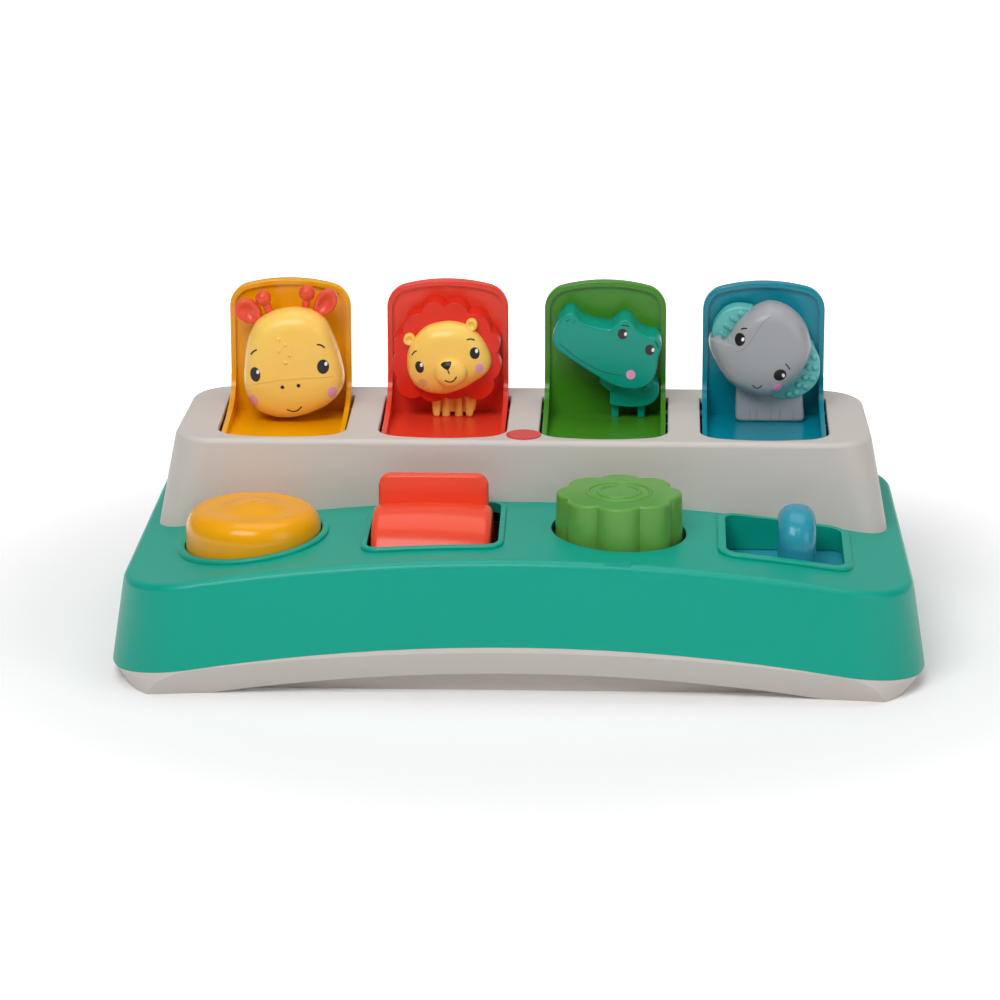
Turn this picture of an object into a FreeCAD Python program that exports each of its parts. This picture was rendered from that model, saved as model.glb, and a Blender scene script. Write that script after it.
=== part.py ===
"""Pop-up animal toy: a housing with four spring lids, each thrown open by its own control.

Frame: X to the right, Y away from the player, Z up, millimetres. The origin is on the floor, under the
middle of the toy's outline. Every lid is drawn open, every control at its resting place.
"""
import FreeCAD, Part
import math
import os

V = FreeCAD.Vector
X_AXIS, Y_AXIS, Z_AXIS = V(1, 0, 0), V(0, 1, 0), V(0, 0, 1)
os.makedirs("parts", exist_ok=True)

# ---------------------------------------------------------------- driving dimensions
HALF_LENGTH = 160.0        # half the toy's length, at the widest level
HALF_DEPTH = 85.0          # half the toy's depth, at the seam between deck and base
WIDEST_Z = 6.6             # level where the ends of the toy are widest
ARCH_RADIUS = 833.0        # the deck bends over this radius about a line parallel to Y
DECK_Z = 57.5              # top of the deck at its crown, where the housing stands on it
DECK_Y = -7.0              # front foot of the housing, where DECK_Z is measured
DECK_SLOPE = 0.032         # the deck falls gently towards the player
SEAM_Z = 22.0              # seam between deck shell and base at the middle of the toy
SKIRT_Z = 9.2              # lower edge of the base skirt at the middle of the toy
SIDE_DRAFT = 0.155         # inward lean of the ends, mm per mm
END_TAPER = 0.0265         # the ends draw in towards the back, mm per mm
FRONT_DRAFT = 0.150        # inward lean of the front
REAR_DRAFT = 0.080         # inward lean of the back
WALL = 2.4                 # moulded wall thickness

TOP_Z = 82.0               # flat top of the rear housing
LID_PITCH = 65.0
LID_X = [(i - 1.5) * LID_PITCH for i in range(4)]
LID_NAMES = ["giraffe", "lion", "crocodile", "elephant"]
HINGE_Y, HINGE_Z = 57.0, 76.5
LID_HALF = 25.0            # half the width of a lid
LID_REACH = 56.2           # hinge line to the tip of a lid
LID_CORNER = 10.0          # corner radius of a lid's outline
LID_CROWN = 70.0           # radius of a lid's arched end
LID_GAP = 0.95             # gap between a lid and its opening
LID_BACK = 5.5             # hinge line to the back face, flush with the housing when shut
LID_RIM = 0.5              # hinge line to the front of the raised rim
LID_RECESS = 2.0           # hinge line to the recessed face that carries the animal
FLOOR_TOP = -0.2           # floor of the lid, above the hinge line
FLOOR_BOTTOM = -2.2
TRUNNION_R = 1.6
FIT = 0.05                 # running clearance of pins in their bores
RECESS_Y = HINGE_Y + LID_RECESS
FLOOR_Z = HINGE_Z + FLOOR_TOP

RELEASE_OFFSET = 3.5       # release bar, to the right of its lid's middle
RELEASE_TRAVEL = 3.6       # how far a release bar is pushed back
BAR_HALF = 2.5
BAR_Z, BAR_TOP = 2.8, 6.8

BUTTON_X, BUTTON_Y, BUTTON_R = -105.1, -35.0, 26.75
BUTTON_TRAVEL = 6.0
LEVER_X, LEVER_Y, LEVER_Z = -34.0, -36.0, 41.0
LEVER_R, LEVER_WIDTH = 24.0, 47.0
LEVER_SWING = 35.0
LEVER_CRANK = 6.3          # crank pin below the lever's axle
KNOB_X, KNOB_Y, KNOB_R = 39.5, -36.5, 25.2
KNOB_TURN = 46.0
KNOB_CRANK = 5.0
FIN_X, FIN_WIDTH = 109.4, 15.0
FIN_Y0, FIN_Y1, FIN_TOP = -49.5, -20.5, 65.0
PLATE_Z = 40.0             # top of the slider's plate
SLIDE_LEFT, SLIDE_RIGHT = 14.0, 5.0
SLIDE_SLOPE = RELEASE_TRAVEL / SLIDE_LEFT

FRONT_SCREWS = [(-120, -65.5), (0, -64), (120, -65.5)]
REAR_SCREWS = [(-127, 71), (0, 71), (127, 71)]
SCREWS = FRONT_SCREWS + REAR_SCREWS


# ---------------------------------------------------------------- helpers
def save(name, shape):
    """Write one sub-part."""
    shape.exportStep("parts/%s.step" % name)


def box(x0, x1, y0, y1, z0, z1):
    return Part.makeBox(x1 - x0, y1 - y0, z1 - z0, V(x0, y0, z0))


def cylinder(x, y, z0, z1, radius):
    return Part.makeCylinder(radius, z1 - z0, V(x, y, z0), Z_AXIS)


def rod_x(x0, x1, y, z, radius):
    """Round bar along X."""
    return Part.makeCylinder(radius, x1 - x0, V(x0, y, z), X_AXIS)


def fuse(shapes):
    return shapes[0].multiFuse(shapes[1:]).removeSplitter()


def rounded(points, radii, place):
    """Closed outline through 2D corners, each rounded by its own radius. place(a, b) gives the 3D point."""
    corners = []
    for i, (a, b) in enumerate(points):
        corner = V(a, b, 0)
        back = (V(*points[i - 1], 0) - corner).normalize()
        ahead = (V(*points[(i + 1) % len(points)], 0) - corner).normalize()
        half = back.getAngle(ahead) / 2
        reach = radii[i] / math.tan(half)
        depth = radii[i] / math.sin(half) - radii[i]
        middle = corner + (back + ahead).normalize() * depth
        corners.append((corner + back * reach, middle, corner + ahead * reach))
    edges = []
    for i, (start, middle, end) in enumerate(corners):
        following = corners[(i + 1) % len(corners)][0]
        if radii[i] > 0:
            edges.append(Part.Arc(*[place(p.x, p.y) for p in (start, middle, end)]).toShape())
        if (following - end).Length > 1e-6:
            edges.append(Part.LineSegment(place(end.x, end.y), place(following.x, following.y)).toShape())
    return Part.Wire(edges)


def level(z):
    """Places a 2D outline flat at one height."""
    return lambda a, b: V(a, b, z)


def upright(y):
    """Places a 2D outline (across, height) in the upright plane at y."""
    return lambda a, b: V(a, y, b)


def profile(points, x0, x1):
    """Straight-sided (Y, Z) profile carried along X."""
    wire = Part.makePolygon([V(x0, y, z) for y, z in points + points[:1]])
    return Part.Face(wire).extrude(V(x1 - x0, 0, 0))


def arched(points):
    """(Y, Z) profile turned about the arch's axis, wider than the toy."""
    wire = Part.makePolygon([V(0, y, z) for y, z in points + points[:1]])
    centre = V(0, 0, DECK_Z - ARCH_RADIUS)
    face = Part.Face(wire)
    face.rotate(centre, Y_AXIS, -13)
    return face.revolve(centre, Y_AXIS, 26)


def under_arch(z, slope=0.0):
    """Everything below the arched surface that is at height z at the crown."""
    wide = 120.0
    return arched([(-wide, z + slope * (-wide - DECK_Y)), (wide, z + slope * (wide - DECK_Y)),
                   (wide, -40), (-wide, -40)])


def fillet_where(shape, radius, wanted):
    """Round the edges that wanted(edge) picks, and keep the sharp shape if they can't be rounded."""
    edges = [edge for edge in shape.Edges if wanted(edge)]
    try:
        result = shape.makeFillet(radius, edges)
    except Exception as problem:
        print("fillet of", radius, "left out:", len(edges), problem)
        return shape
    if not result.isValid() or result.Volume < 0.5 * shape.Volume:
        print("fillet of", radius, "left out: not valid")
        return shape
    return result


def spline(points, place):
    """Smooth closed outline through the points."""
    curve = Part.BSplineCurve()
    curve.interpolate([place(a, b) for a, b in points], PeriodicFlag=True)
    return Part.Wire(curve.toShape())


def dome(points, centre, sections):
    """Rounded form: the outline scaled about its centre at each (y, scale) of sections."""
    wires = []
    for y, scale in sections:
        scaled = [(centre[0] + (a - centre[0]) * scale, centre[1] + (b - centre[1]) * scale) for a, b in points]
        wires.append(spline(scaled, upright(y)))
    return Part.makeLoft(wires, True, False)


def scallops(centre, valleys, valley_r, bulge, place):
    """Outline of outward arcs between valleys at the given angles."""
    def at(angle, radius):
        turn = math.radians(angle)
        return place(centre[0] + radius * math.cos(turn), centre[1] + radius * math.sin(turn))
    edges = []
    for i, angle in enumerate(valleys):
        following = valleys[(i + 1) % len(valleys)]
        if following < angle:
            following += 360
        middle = at((angle + following) / 2, valley_r + bulge)
        edges.append(Part.Arc(at(angle, valley_r), middle, at(following, valley_r)).toShape())
    return Part.Wire(edges)


def coil(centre, axis, radius, wire_r, turns, length):
    """Helical spring body along +Z, turned to the axis."""
    helix = Part.makeHelix(length / turns, length, radius)
    circle = Part.Wire(Part.makeCircle(wire_r, V(radius, 0, 0), Y_AXIS))
    shape = Part.Wire(helix).makePipeShell([circle], True, True)
    shape.Placement = FreeCAD.Placement(centre, FreeCAD.Rotation(Z_AXIS, axis))
    return shape


# ---------------------------------------------------------------- outer casing
def body_plan(z, grow=0.0):
    """Plan outline of the casing at one height."""
    lean = (z - WIDEST_Z) * SIDE_DRAFT if z > WIDEST_Z else (WIDEST_Z - z) * 1.1
    front = -HALF_DEPTH + (z - 13) * FRONT_DRAFT - grow
    rear = HALF_DEPTH - abs(z - 13) * REAR_DRAFT + grow
    corner = 35.0 - lean + grow
    half_front = HALF_LENGTH - lean + grow + END_TAPER * corner
    half_rear = half_front - END_TAPER * (rear - front)
    points = [(-half_front, front), (half_front, front), (half_rear, rear), (-half_rear, rear)]
    return rounded(points, [corner, corner, corner - 8, corner - 8], level(z))


def casing(grow=0.0):
    lower = Part.makeLoft([body_plan(-1.0, grow), body_plan(WIDEST_Z, grow)], True, True)
    upper = Part.makeLoft([body_plan(WIDEST_Z, grow), body_plan(75.0, grow)], True, True)
    return lower.fuse(upper)


def bead_ring(outer, inner):
    """Raised bead round an opening: it follows the deck between two upright outlines."""
    band = Part.Face(outer).extrude(V(0, 0, 60)).cut(Part.Face(inner).extrude(V(0, 0, 60)))
    high = under_arch(DECK_Z + 1.5, DECK_SLOPE)
    low = under_arch(DECK_Z - 1.5, DECK_SLOPE)
    ring = band.common(high).cut(low)
    top = max(ring.BoundBox.ZMax - 1.0, 0)
    return fillet_where(ring, 0.9, lambda e: on_bead_top(e, top))


def on_bead_top(edge, top):
    """True for the edges of a bead that lie on its upper surface."""
    middle = edge.valueAt((edge.FirstParameter + edge.LastParameter) / 2)
    crown = DECK_Z + 1.5 + DECK_SLOPE * (middle.y - DECK_Y)
    drop = ARCH_RADIUS - math.sqrt(ARCH_RADIUS ** 2 - middle.x ** 2)
    return abs(middle.z - (crown - drop)) < 0.25 and edge.Length > 1.0


def lever_window(grow, z):
    half = 25.8 + grow
    front, rear = -62.4 - grow, -12.2 + grow
    points = [(-33 - half, front), (-33 + half, front), (-33 + half - 0.5, rear), (-33 - half + 0.5, rear)]
    return rounded(points, [5 + grow] * 4, level(z))


def slider_window(grow, z):
    left, right = 81.5 - grow, 127.8 + grow
    front, rear = -56.9 - grow, -12.6 + grow
    return rounded([(left, front), (right, front), (right, rear), (left, rear)], [5 + grow] * 4, level(z))


def round_outline(x, y, radius, z):
    return Part.Wire(Part.makeCircle(radius, V(x, y, z)))


def make_deck():
    """Teal upper casing: drafted walls under an arched top, with an opening for each control."""
    deck_top = under_arch(DECK_Z, DECK_SLOPE)
    outer = casing().common(deck_top)
    outer = fillet_where(outer, 3.0, is_deck_side_edge)
    inner = casing(-WALL).common(under_arch(DECK_Z - WALL, DECK_SLOPE))
    shell = outer.cut(inner)
    well = rounded([(-136, 0), (136, 0), (134, 75.4), (-134, 75.4)], [8] * 4, level(20))
    shell = shell.cut(Part.Face(well).extrude(V(0, 0, 60)))
    posts = [cylinder(x, y, 0, 60, 4.0).common(under_arch(DECK_Z - 1, DECK_SLOPE)) for x, y in FRONT_SCREWS]
    brackets = lever_brackets()
    rails = slider_rails()
    rings = [bead_ring(round_outline(BUTTON_X, BUTTON_Y, 29.9, 10), round_outline(BUTTON_X, BUTTON_Y, 20, 10)),
             bead_ring(lever_window(2.2, 10), lever_window(-4, 10)),
             bead_ring(slider_window(3.3, 10), slider_window(-4, 10))]
    rings = [ring.cut(housing_block()) for ring in rings]
    shell = shell.multiFuse(posts + brackets + rails + rings + [slider_well_walls(), knob_collar()])
    holes = [cylinder(BUTTON_X, BUTTON_Y, 30, 80, 27.4), cylinder(KNOB_X, KNOB_Y, 44, 80, 26.65),
             Part.Face(lever_window(0, 36)).extrude(V(0, 0, 40)),
             Part.Face(slider_window(0, PLATE_Z + 0.3)).extrude(V(0, 0, 40))]
    shell = shell.cut(Part.makeCompound(holes))
    shell = shell.cut(under_arch(SEAM_Z))
    bores = [cylinder(x, y, 0, SEAM_Z + 8, 1.52) for x, y in FRONT_SCREWS]
    return shell.cut(Part.makeCompound(bores))


def is_deck_side_edge(edge):
    """Edges where the arched top meets the ends, the corners and the front."""
    box_ = edge.BoundBox
    return box_.ZMin > 30 and box_.ZMax < 62 and edge.Length > 5 and not (box_.YMin > 70 and box_.XLength > 100)


def lever_brackets():
    """Two lugs under the deck that carry the lever's axle."""
    lugs = []
    for x0 in (-62.6, -8.9):
        plate = box(x0, x0 + 3.2, LEVER_Y - 5, LEVER_Y + 5, LEVER_Z, 54)
        lug = plate.fuse(rod_x(x0, x0 + 3.2, LEVER_Y, LEVER_Z, 5.0))
        lugs.append(lug.cut(rod_x(x0 - 1, x0 + 5, LEVER_Y, LEVER_Z, 2.0)))
    return lugs


def slider_well_walls():
    """Upright wall round the slider's window, down to just above the sliding plate."""
    outer = Part.Face(slider_window(1.8, PLATE_Z + 0.3)).extrude(V(0, 0, 14))
    inner = Part.Face(slider_window(-1, PLATE_Z + 0.3)).extrude(V(0, 0, 14))
    return outer.cut(inner).common(under_arch(DECK_Z - 1, DECK_SLOPE))


def slider_rails():
    """Lips under the deck that carry the sliding plate."""
    rails = []
    for y0, y1, lip0, lip1 in ((-61.4, -60.0, -61.4, -58.2), (-9.2, -7.8, -11.0, -7.8)):
        hanger = box(76, 138, y0, y1, PLATE_Z - 4.6, 50)
        lip = box(76, 138, lip0, lip1, PLATE_Z - 4.6, PLATE_Z - 2.8)
        rails.append(hanger.fuse(lip).common(under_arch(DECK_Z - 1, DECK_SLOPE)))
    return rails


def knob_collar():
    """Bearing for the knob's shaft, on a cross wall under the deck."""
    bridge = box(KNOB_X - 5, KNOB_X + 5, -78, -2, 32, 36)
    ends = [box(KNOB_X - 5, KNOB_X + 5, y, y + 2.4, 32, 55) for y in (-78, -4.4)]
    hub = cylinder(KNOB_X, KNOB_Y, 28, 36, 10)
    collar = bridge.multiFuse(ends + [hub])
    return collar.cut(cylinder(KNOB_X, KNOB_Y, 20, 40, 6.0 + FIT))


def make_base():
    """Warm grey base: a skirt that tucks in under the seam, and a flat pedestal."""
    front_cut = arched([(-85.3, SEAM_Z), (-105, SEAM_Z), (-105, -12), (-85.3 + 0.62 * 34, -12)])
    rear_cut = arched([(85.3, SEAM_Z), (85.3 - 0.40 * 34, -12), (105, -12), (105, SEAM_Z)])
    skirt = casing().common(under_arch(SEAM_Z)).cut(under_arch(SKIRT_Z)).cut(front_cut).cut(rear_cut)
    skirt = skirt.cut(box(-200, 200, -120, 120, -50, 0))
    foot = rounded([(-139, -70.5), (139, -70.5), (137, 77.6), (-137, 77.6)], [22] * 4, level(0))
    pedestal = Part.Face(foot).extrude(V(0, 0, 12)).common(under_arch(SEAM_Z))
    tray = skirt.fuse(pedestal)
    low = rounded([(-135, -67.5), (135, -67.5), (134, 75.6), (-134, 75.6)], [18] * 4, level(WALL))
    high0 = rounded([(-146, -74), (146, -74), (142, 77)  , (-142, 77)], [26] * 4, level(10.5))
    high1 = rounded([(-151, -79), (151, -79), (147, 80), (-147, 80)], [30] * 4, level(30))
    hollow = Part.Face(low).extrude(V(0, 0, 30)).fuse(Part.makeLoft([high0, high1], True, True))
    tray = tray.cut(hollow)
    bosses = [cylinder(x, y, 0, 40, 4.5).common(under_arch(SEAM_Z)) for x, y in SCREWS]
    rails = [rail for cx in LID_X for rail in bar_rails(cx + RELEASE_OFFSET)]
    peg = cylinder(BUTTON_X, BUTTON_Y, 1, 12, 3.2)
    tray = tray.multiFuse(bosses + rails + [peg])
    holes = [cylinder(x, y, -1, 5, 3.3) for x, y in SCREWS] + [cylinder(x, y, 0, 40, 1.75) for x, y in SCREWS]
    return tray.cut(Part.makeCompound(holes))


def bar_rails(x):
    """Low ribs that guide one release bar."""
    gap = BAR_HALF + 0.4
    return [box(x + side * gap - (1.6 if side < 0 else 0), x + side * gap + (1.6 if side > 0 else 0),
                y0, y1, 1.5, 5.6) for side in (-1, 1) for y0, y1 in ((-16, 6), (40, 62))]


# ---------------------------------------------------------------- rear housing
def housing_plan(z, grow=0.0):
    rise = z - 44.0
    half_front = 147.5 - 0.18 * rise + grow
    half_rear = half_front - 2.6
    front = -8.3 + 0.094 * rise - grow
    rear = 80.2 - 0.075 * rise + grow
    points = [(-half_front, front), (half_front, front), (half_rear, rear), (-half_rear, rear)]
    corner = 11.5 + 0.12 * rise + grow
    return rounded(points, [corner, corner, corner + 3, corner + 3], level(z))


def lid_outline(grow, place, foot):
    """Outline of a lid seen square on: (across, reach from the hinge), straight across at the foot."""
    half, reach = LID_HALF + grow, LID_REACH + grow
    corner, crown = LID_CORNER + grow, LID_CROWN + grow
    cx, crown_s = half - corner, reach - crown
    cs = crown_s + math.sqrt((crown - corner) ** 2 - cx ** 2)
    lean = math.atan2(cs - crown_s, cx)
    edge = (crown * math.cos(lean), crown_s + crown * math.sin(lean))
    bend = (cx + corner * math.cos(lean / 2), cs + corner * math.sin(lean / 2))
    edges = [Part.LineSegment(place(-half, foot), place(half, foot)),
             Part.LineSegment(place(half, foot), place(half, cs)),
             Part.Arc(place(half, cs), place(*bend), place(*edge)),
             Part.Arc(place(*edge), place(0, reach), place(-edge[0], edge[1])),
             Part.Arc(place(-edge[0], edge[1]), place(-bend[0], bend[1]), place(-half, cs)),
             Part.LineSegment(place(-half, cs), place(-half, foot))]
    return Part.Wire([edge_.toShape() for edge_ in edges])


def housing_block():
    return Part.makeLoft([housing_plan(30), housing_plan(TOP_Z)], True, True)


def make_housing():
    """Grey rear housing: sloping walls, a flat top with four lid openings, and bosses for the trunnions."""
    outer = housing_block()
    outer = fillet_where(outer, 2.3, lambda e: e.BoundBox.ZMin > TOP_Z - 0.1)
    inner = Part.makeLoft([housing_plan(29, -WALL), housing_plan(TOP_Z - WALL, -WALL)], True, True)
    shell = outer.cut(inner)
    openings = []
    bosses = []
    bores = []
    for cx in LID_X:
        wire = lid_outline(LID_GAP, lambda a, s, cx=cx: V(cx + a, HINGE_Y - s, 70), -6.5)
        openings.append(Part.Face(wire).extrude(V(0, 0, 20)))
        for x0 in (cx - 28.9, cx + 26.4):
            round_end = rod_x(x0, x0 + 2.5, HINGE_Y, HINGE_Z, 4.2)
            bosses.append(round_end.fuse(box(x0, x0 + 2.5, HINGE_Y - 4.2, HINGE_Y + 4.2, HINGE_Z, TOP_Z - 1)))
        bores.append(rod_x(cx - 30, cx + 30, HINGE_Y, HINGE_Z, TRUNNION_R + FIT))
    shell = shell.cut(Part.makeCompound(openings))
    shell = fillet_where(shell, 0.7, is_opening_edge)
    posts = [cylinder(x, y, 0, TOP_Z - 1, 4.0).cut(under_arch(SEAM_Z)) for x, y in REAR_SCREWS]
    ribs = [box(x - 1, x + 1, y, 77.5, 63, TOP_Z - 1) for x, y in REAR_SCREWS]
    shell = shell.cut(under_arch(DECK_Z, DECK_SLOPE)).multiFuse(bosses + posts + ribs)
    bores += [cylinder(x, y, 0, SEAM_Z + 8, 1.52) for x, y in REAR_SCREWS]
    return shell.cut(Part.makeCompound(bores))


def is_opening_edge(edge):
    """Upper edges of the lid openings."""
    frame = edge.BoundBox
    return frame.ZMin > TOP_Z - 0.01 and frame.YMin > -1.5 and frame.YMax < 64 and frame.XLength < 60


# ---------------------------------------------------------------- lids
def make_lid(cx):
    """Lid carrier: an arched panel with a raised rim, low side cheeks and a floor, all in one moulding."""
    def wall(y):
        return lambda a, s: V(cx + a, y, HINGE_Z + s)

    def flat(z):
        return lambda a, s: V(cx + a, HINGE_Y - s, z)
    panel = Part.Face(lid_outline(0, wall(HINGE_Y + LID_RIM), FLOOR_BOTTOM)).extrude(V(0, LID_BACK - LID_RIM, 0))
    panel = fillet_where(panel, 1.6, lambda e: e.BoundBox.YMin > HINGE_Y + LID_BACK - 0.1
                         and e.BoundBox.ZMax > HINGE_Z + 5)
    panel = fillet_where(panel, 0.9, lambda e: e.BoundBox.YMax < HINGE_Y + LID_RIM + 0.1
                         and e.BoundBox.ZMax > HINGE_Z + 5)
    recess = Part.Face(lid_outline(-2.2, wall(HINGE_Y - 1), FLOOR_TOP)).extrude(V(0, LID_RECESS + 1, 0))
    floor = Part.Face(lid_outline(-0.5, flat(HINGE_Z + FLOOR_BOTTOM), -LID_RECESS))
    floor = floor.extrude(V(0, 0, FLOOR_TOP - FLOOR_BOTTOM))
    cheeks = [lid_cheek(cx, side) for side in (-1, 1)]
    arm_x = cx + RELEASE_OFFSET
    arm = box(arm_x - 2, arm_x + 2, HINGE_Y - 3.0, HINGE_Y + 2.6, HINGE_Z - 11.5, HINGE_Z + FLOOR_BOTTOM + 0.5)
    lid = panel.cut(recess).multiFuse([floor, arm] + cheeks)
    trunnions = [rod_x(cx - 29.5, cx - 24, HINGE_Y, HINGE_Z, TRUNNION_R),
                 rod_x(cx + 24, cx + 33.3, HINGE_Y, HINGE_Z, TRUNNION_R)]
    return lid.multiFuse(trunnions).removeSplitter()


def lid_cheek(cx, side):
    """Thin side wall that sweeps from the rim down to the floor's front corner."""
    x0 = cx + side * LID_HALF if side < 0 else cx + LID_HALF - 2.0
    sweep = Part.BSplineCurve()
    heights = [(-46.5, 2.2), (-30, 3.6), (-12, 5.8), (-3.5, 9.0), (LID_RIM, 16.0)]
    points = [V(x0, HINGE_Y + a, HINGE_Z + b) for a, b in heights]
    sweep.interpolate(points)
    low = HINGE_Z + FLOOR_BOTTOM
    back = HINGE_Y + LID_RIM
    sides = [Part.LineSegment(points[-1], V(x0, back, low)).toShape(),
             Part.LineSegment(V(x0, back, low), V(x0, HINGE_Y - 46.5, low)).toShape(),
             Part.LineSegment(V(x0, HINGE_Y - 46.5, low), points[0]).toShape()]
    cheek = Part.Face(Part.Wire([sweep.toShape()] + sides)).extrude(V(2.0, 0, 0))
    return cheek.fuse(rod_x(x0, x0 + 2.0, HINGE_Y, HINGE_Z, 2.9))


def lid_spring(cx):
    """Torsion spring round a trunnion: the rear leg bears under the housing's top, the front one lifts the lid."""
    mean_r, wire_r, pitch, first, span = 2.2, 0.4, 0.93, -30, 1106
    helix = Part.makeHelix(pitch, pitch * span / 360, mean_r)
    helix.rotate(V(0, 0, 0), Z_AXIS, first)
    start, end = helix.Edges[0], helix.Edges[-1]
    from_way, to_way = start.tangentAt(start.FirstParameter), end.tangentAt(end.LastParameter)
    head, tail = start.valueAt(start.FirstParameter), end.valueAt(end.LastParameter)
    rear = head - from_way * 9.1
    bend = tail + to_way * 6.0
    inward = (Z_AXIS - to_way * to_way.dot(Z_AXIS)).normalize()
    turned = bend + to_way + inward
    middle = bend + inward + (to_way - inward) * math.sqrt(0.5)
    edges = [Part.LineSegment(rear, head).toShape()] + helix.Edges
    edges += [Part.LineSegment(tail, bend).toShape(), Part.Arc(bend, middle, turned).toShape(),
              Part.LineSegment(turned, turned + inward * 7.5).toShape()]
    circle = Part.Wire(Part.makeCircle(wire_r, rear, from_way))
    spring = Part.Wire(edges).makePipeShell([circle], True, False)
    place = FreeCAD.Matrix(0, 0, -1, cx + 32.4, 0, -1, 0, HINGE_Y, -1, 0, 0, HINGE_Z, 0, 0, 0, 1)
    return spring.transformed(place)


# ---------------------------------------------------------------- animals
def local(points, cx):
    """Animal outlines are given from the lid's middle and floor."""
    return [(cx + a, FLOOR_Z + b) for a, b in points]


def extrude_outline(wire, depth):
    return Part.Face(wire).extrude(V(0, depth, 0))


def make_giraffe(cx):
    outline = local([(-17.3, 14), (-15.2, 34.5), (-9, 43.9), (4, 47.2), (15.2, 43.2), (19.8, 33.5),
                     (22.6, 18), (18.8, 6.8), (0, 0.8), (-14.6, 6.2)], cx)
    centre = (cx + 3, FLOOR_Z + 23)
    head = dome(outline, centre, [(RECESS_Y, 0.88), (53, 0.96), (46, 1.0), (40, 0.96), (36.5, 0.84), (34.6, 0.62)])
    horns = []
    for side, foot, ball in ((-1, (-6.0, 43), (-10.3, 49.2)), (1, (8.2, 44), (7.8, 51.6))):
        low = V(cx + foot[0], 48, FLOOR_Z + foot[1])
        high = V(cx + ball[0], 48, FLOOR_Z + ball[1])
        horns.append(ball_on_stem(low, high, 1.6, 3.4))
        ear = (-16.6, 43.3) if side < 0 else (15.6, 48.2)
        root = (-11.5, 39.5) if side < 0 else (11.8, 42.6)
        horns.append(make_ear(cx, ear, root))
    trim = Part.makeCompound(horns)
    return head.cut(trim), trim


def ball_on_stem(low, high, stem_r, ball_r):
    """Round stem with a ball at its end, turned in one piece."""
    length = (high - low).Length
    neck = length - math.sqrt(ball_r ** 2 - stem_r ** 2)
    ball = Part.Arc(V(stem_r, 0, neck), V(ball_r, 0, length), V(0, 0, length + ball_r)).toShape()
    foot = Part.makePolygon([V(0, 0, length + ball_r), V(0, 0, 0), V(stem_r, 0, 0), V(stem_r, 0, neck)])
    turned = Part.Face(Part.Wire([ball] + foot.Edges)).revolve(V(0, 0, 0), Z_AXIS, 360)
    turned.Placement = FreeCAD.Placement(low, FreeCAD.Rotation(Z_AXIS, high - low))
    return turned


def make_ear(cx, tip, root):
    """Flat leaf-shaped ear standing on its lid."""
    dx, dz = tip[0] - root[0], tip[1] - root[1]
    length = math.hypot(dx, dz)
    ux, uz = dx / length, dz / length
    shape = [(0, -1.6), (length, -4.2), (length + 4.4, 0), (length, 4.2), (0, 1.6)]
    outline = [(root[0] + a * ux - b * uz, root[1] + a * uz + b * ux) for a, b in shape]
    wire = spline(local(outline, cx), upright(46.5))
    return extrude_outline(wire, 4.0)


def make_lion(cx):
    centre = (cx + 0.0, FLOOR_Z + 28.3)
    valleys = [-152, -122, -94, -64, -33, -4, 27, 61, 92, 122, 154, 185]
    mane = extrude_outline(scallops(centre, valleys, 19.6, 2.9, upright(46.6)), RECESS_Y - 46.6)
    face = local([(-16.1, 23.6), (-14.6, 32.6), (-7.5, 40.1), (2.5, 42.0), (12.5, 37.4), (18.4, 26),
                  (14.6, 18.2), (4.5, 12.8), (-6.5, 11.7), (-14.2, 16.6)], cx)
    head = dome(face, (cx + 1, FLOOR_Z + 27), [(46.6, 1.0), (43.5, 1.0), (40.5, 0.90), (38.4, 0.70), (37.4, 0.42)])
    muzzle = dome(local([(-5, 21.2), (2, 27.4), (9, 21.4), (2, 15.2)], cx), (cx + 2, FLOOR_Z + 21.3),
                  [(42, 1.0), (37, 0.98), (34.6, 0.80), (33.6, 0.45)])
    ears = [Part.makeCylinder(2.9, 3.4, V(cx + a, 43.2, FLOOR_Z + b), Y_AXIS) for a, b in ((-14.2, 34.6), (10.6, 40.6))]
    head = fuse([head, muzzle] + ears)
    paws = [cylinder(cx + a, 46.8, FLOOR_Z, FLOOR_Z + 8, 1.75) for a in (-4.2, 0.0, 4.9, 9.3)]
    trunk = box(cx - 6, cx + 11.3, 47.2, RECESS_Y, FLOOR_Z + 1.4, FLOOR_Z + 12)
    trunk = trunk.cut(mane)
    paws = [paw.cut(mane) for paw in paws]
    feet = [box(cx + a - 1.75, cx + a + 1.75, 46.8, 52, FLOOR_Z, FLOOR_Z + 4) for a in (-4.2, 0.0, 4.9, 9.3)]
    body = fuse(paws + feet + [trunk])
    return mane, head, body


def make_crocodile(cx):
    outline = local([(-20.4, 34.6), (-18.6, 42.4), (-13.9, 46.4), (-9.7, 42.6), (-2, 39.8), (3.8, 40.7),
                     (8.5, 43.2), (12.7, 39.3), (20.2, 36.3), (22.9, 32.4), (21.2, 24), (17.6, 15.6),
                     (8.5, 14.4), (-2.1, 18.9), (-17.5, 29.3)], cx)
    front = RECESS_Y - 16.3
    head = extrude_outline(spline(outline, upright(front)), 16.3)
    head = fillet_where(head, 0.8, lambda e: e.BoundBox.YMax < front + 0.1)
    trunk = rounded(local([(2.1, 20), (2.6, 6.6), (16.5, 6.2), (22.6, 10.5), (21.8, 17), (18.5, 15.0), (15, 20)], cx),
                    [1, 1.2, 3, 3.5, 1.4, 1, 1], upright(45.5))
    arm = rounded(local([(-2.2, 18.2), (2.6, 12.6), (5, 15), (1, 20)], cx), [1, 0.8, 0.5, 0.5], upright(47))
    pieces = [extrude_outline(trunk, RECESS_Y - 45.5), extrude_outline(arm, 7.0)]
    pieces += [box(cx + a, cx + a + 3.0, 45.5, 57, FLOOR_Z, FLOOR_Z + 8) for a in (2.7, 13.4)]
    body = fuse(pieces).cut(head)
    return head, body


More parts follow.
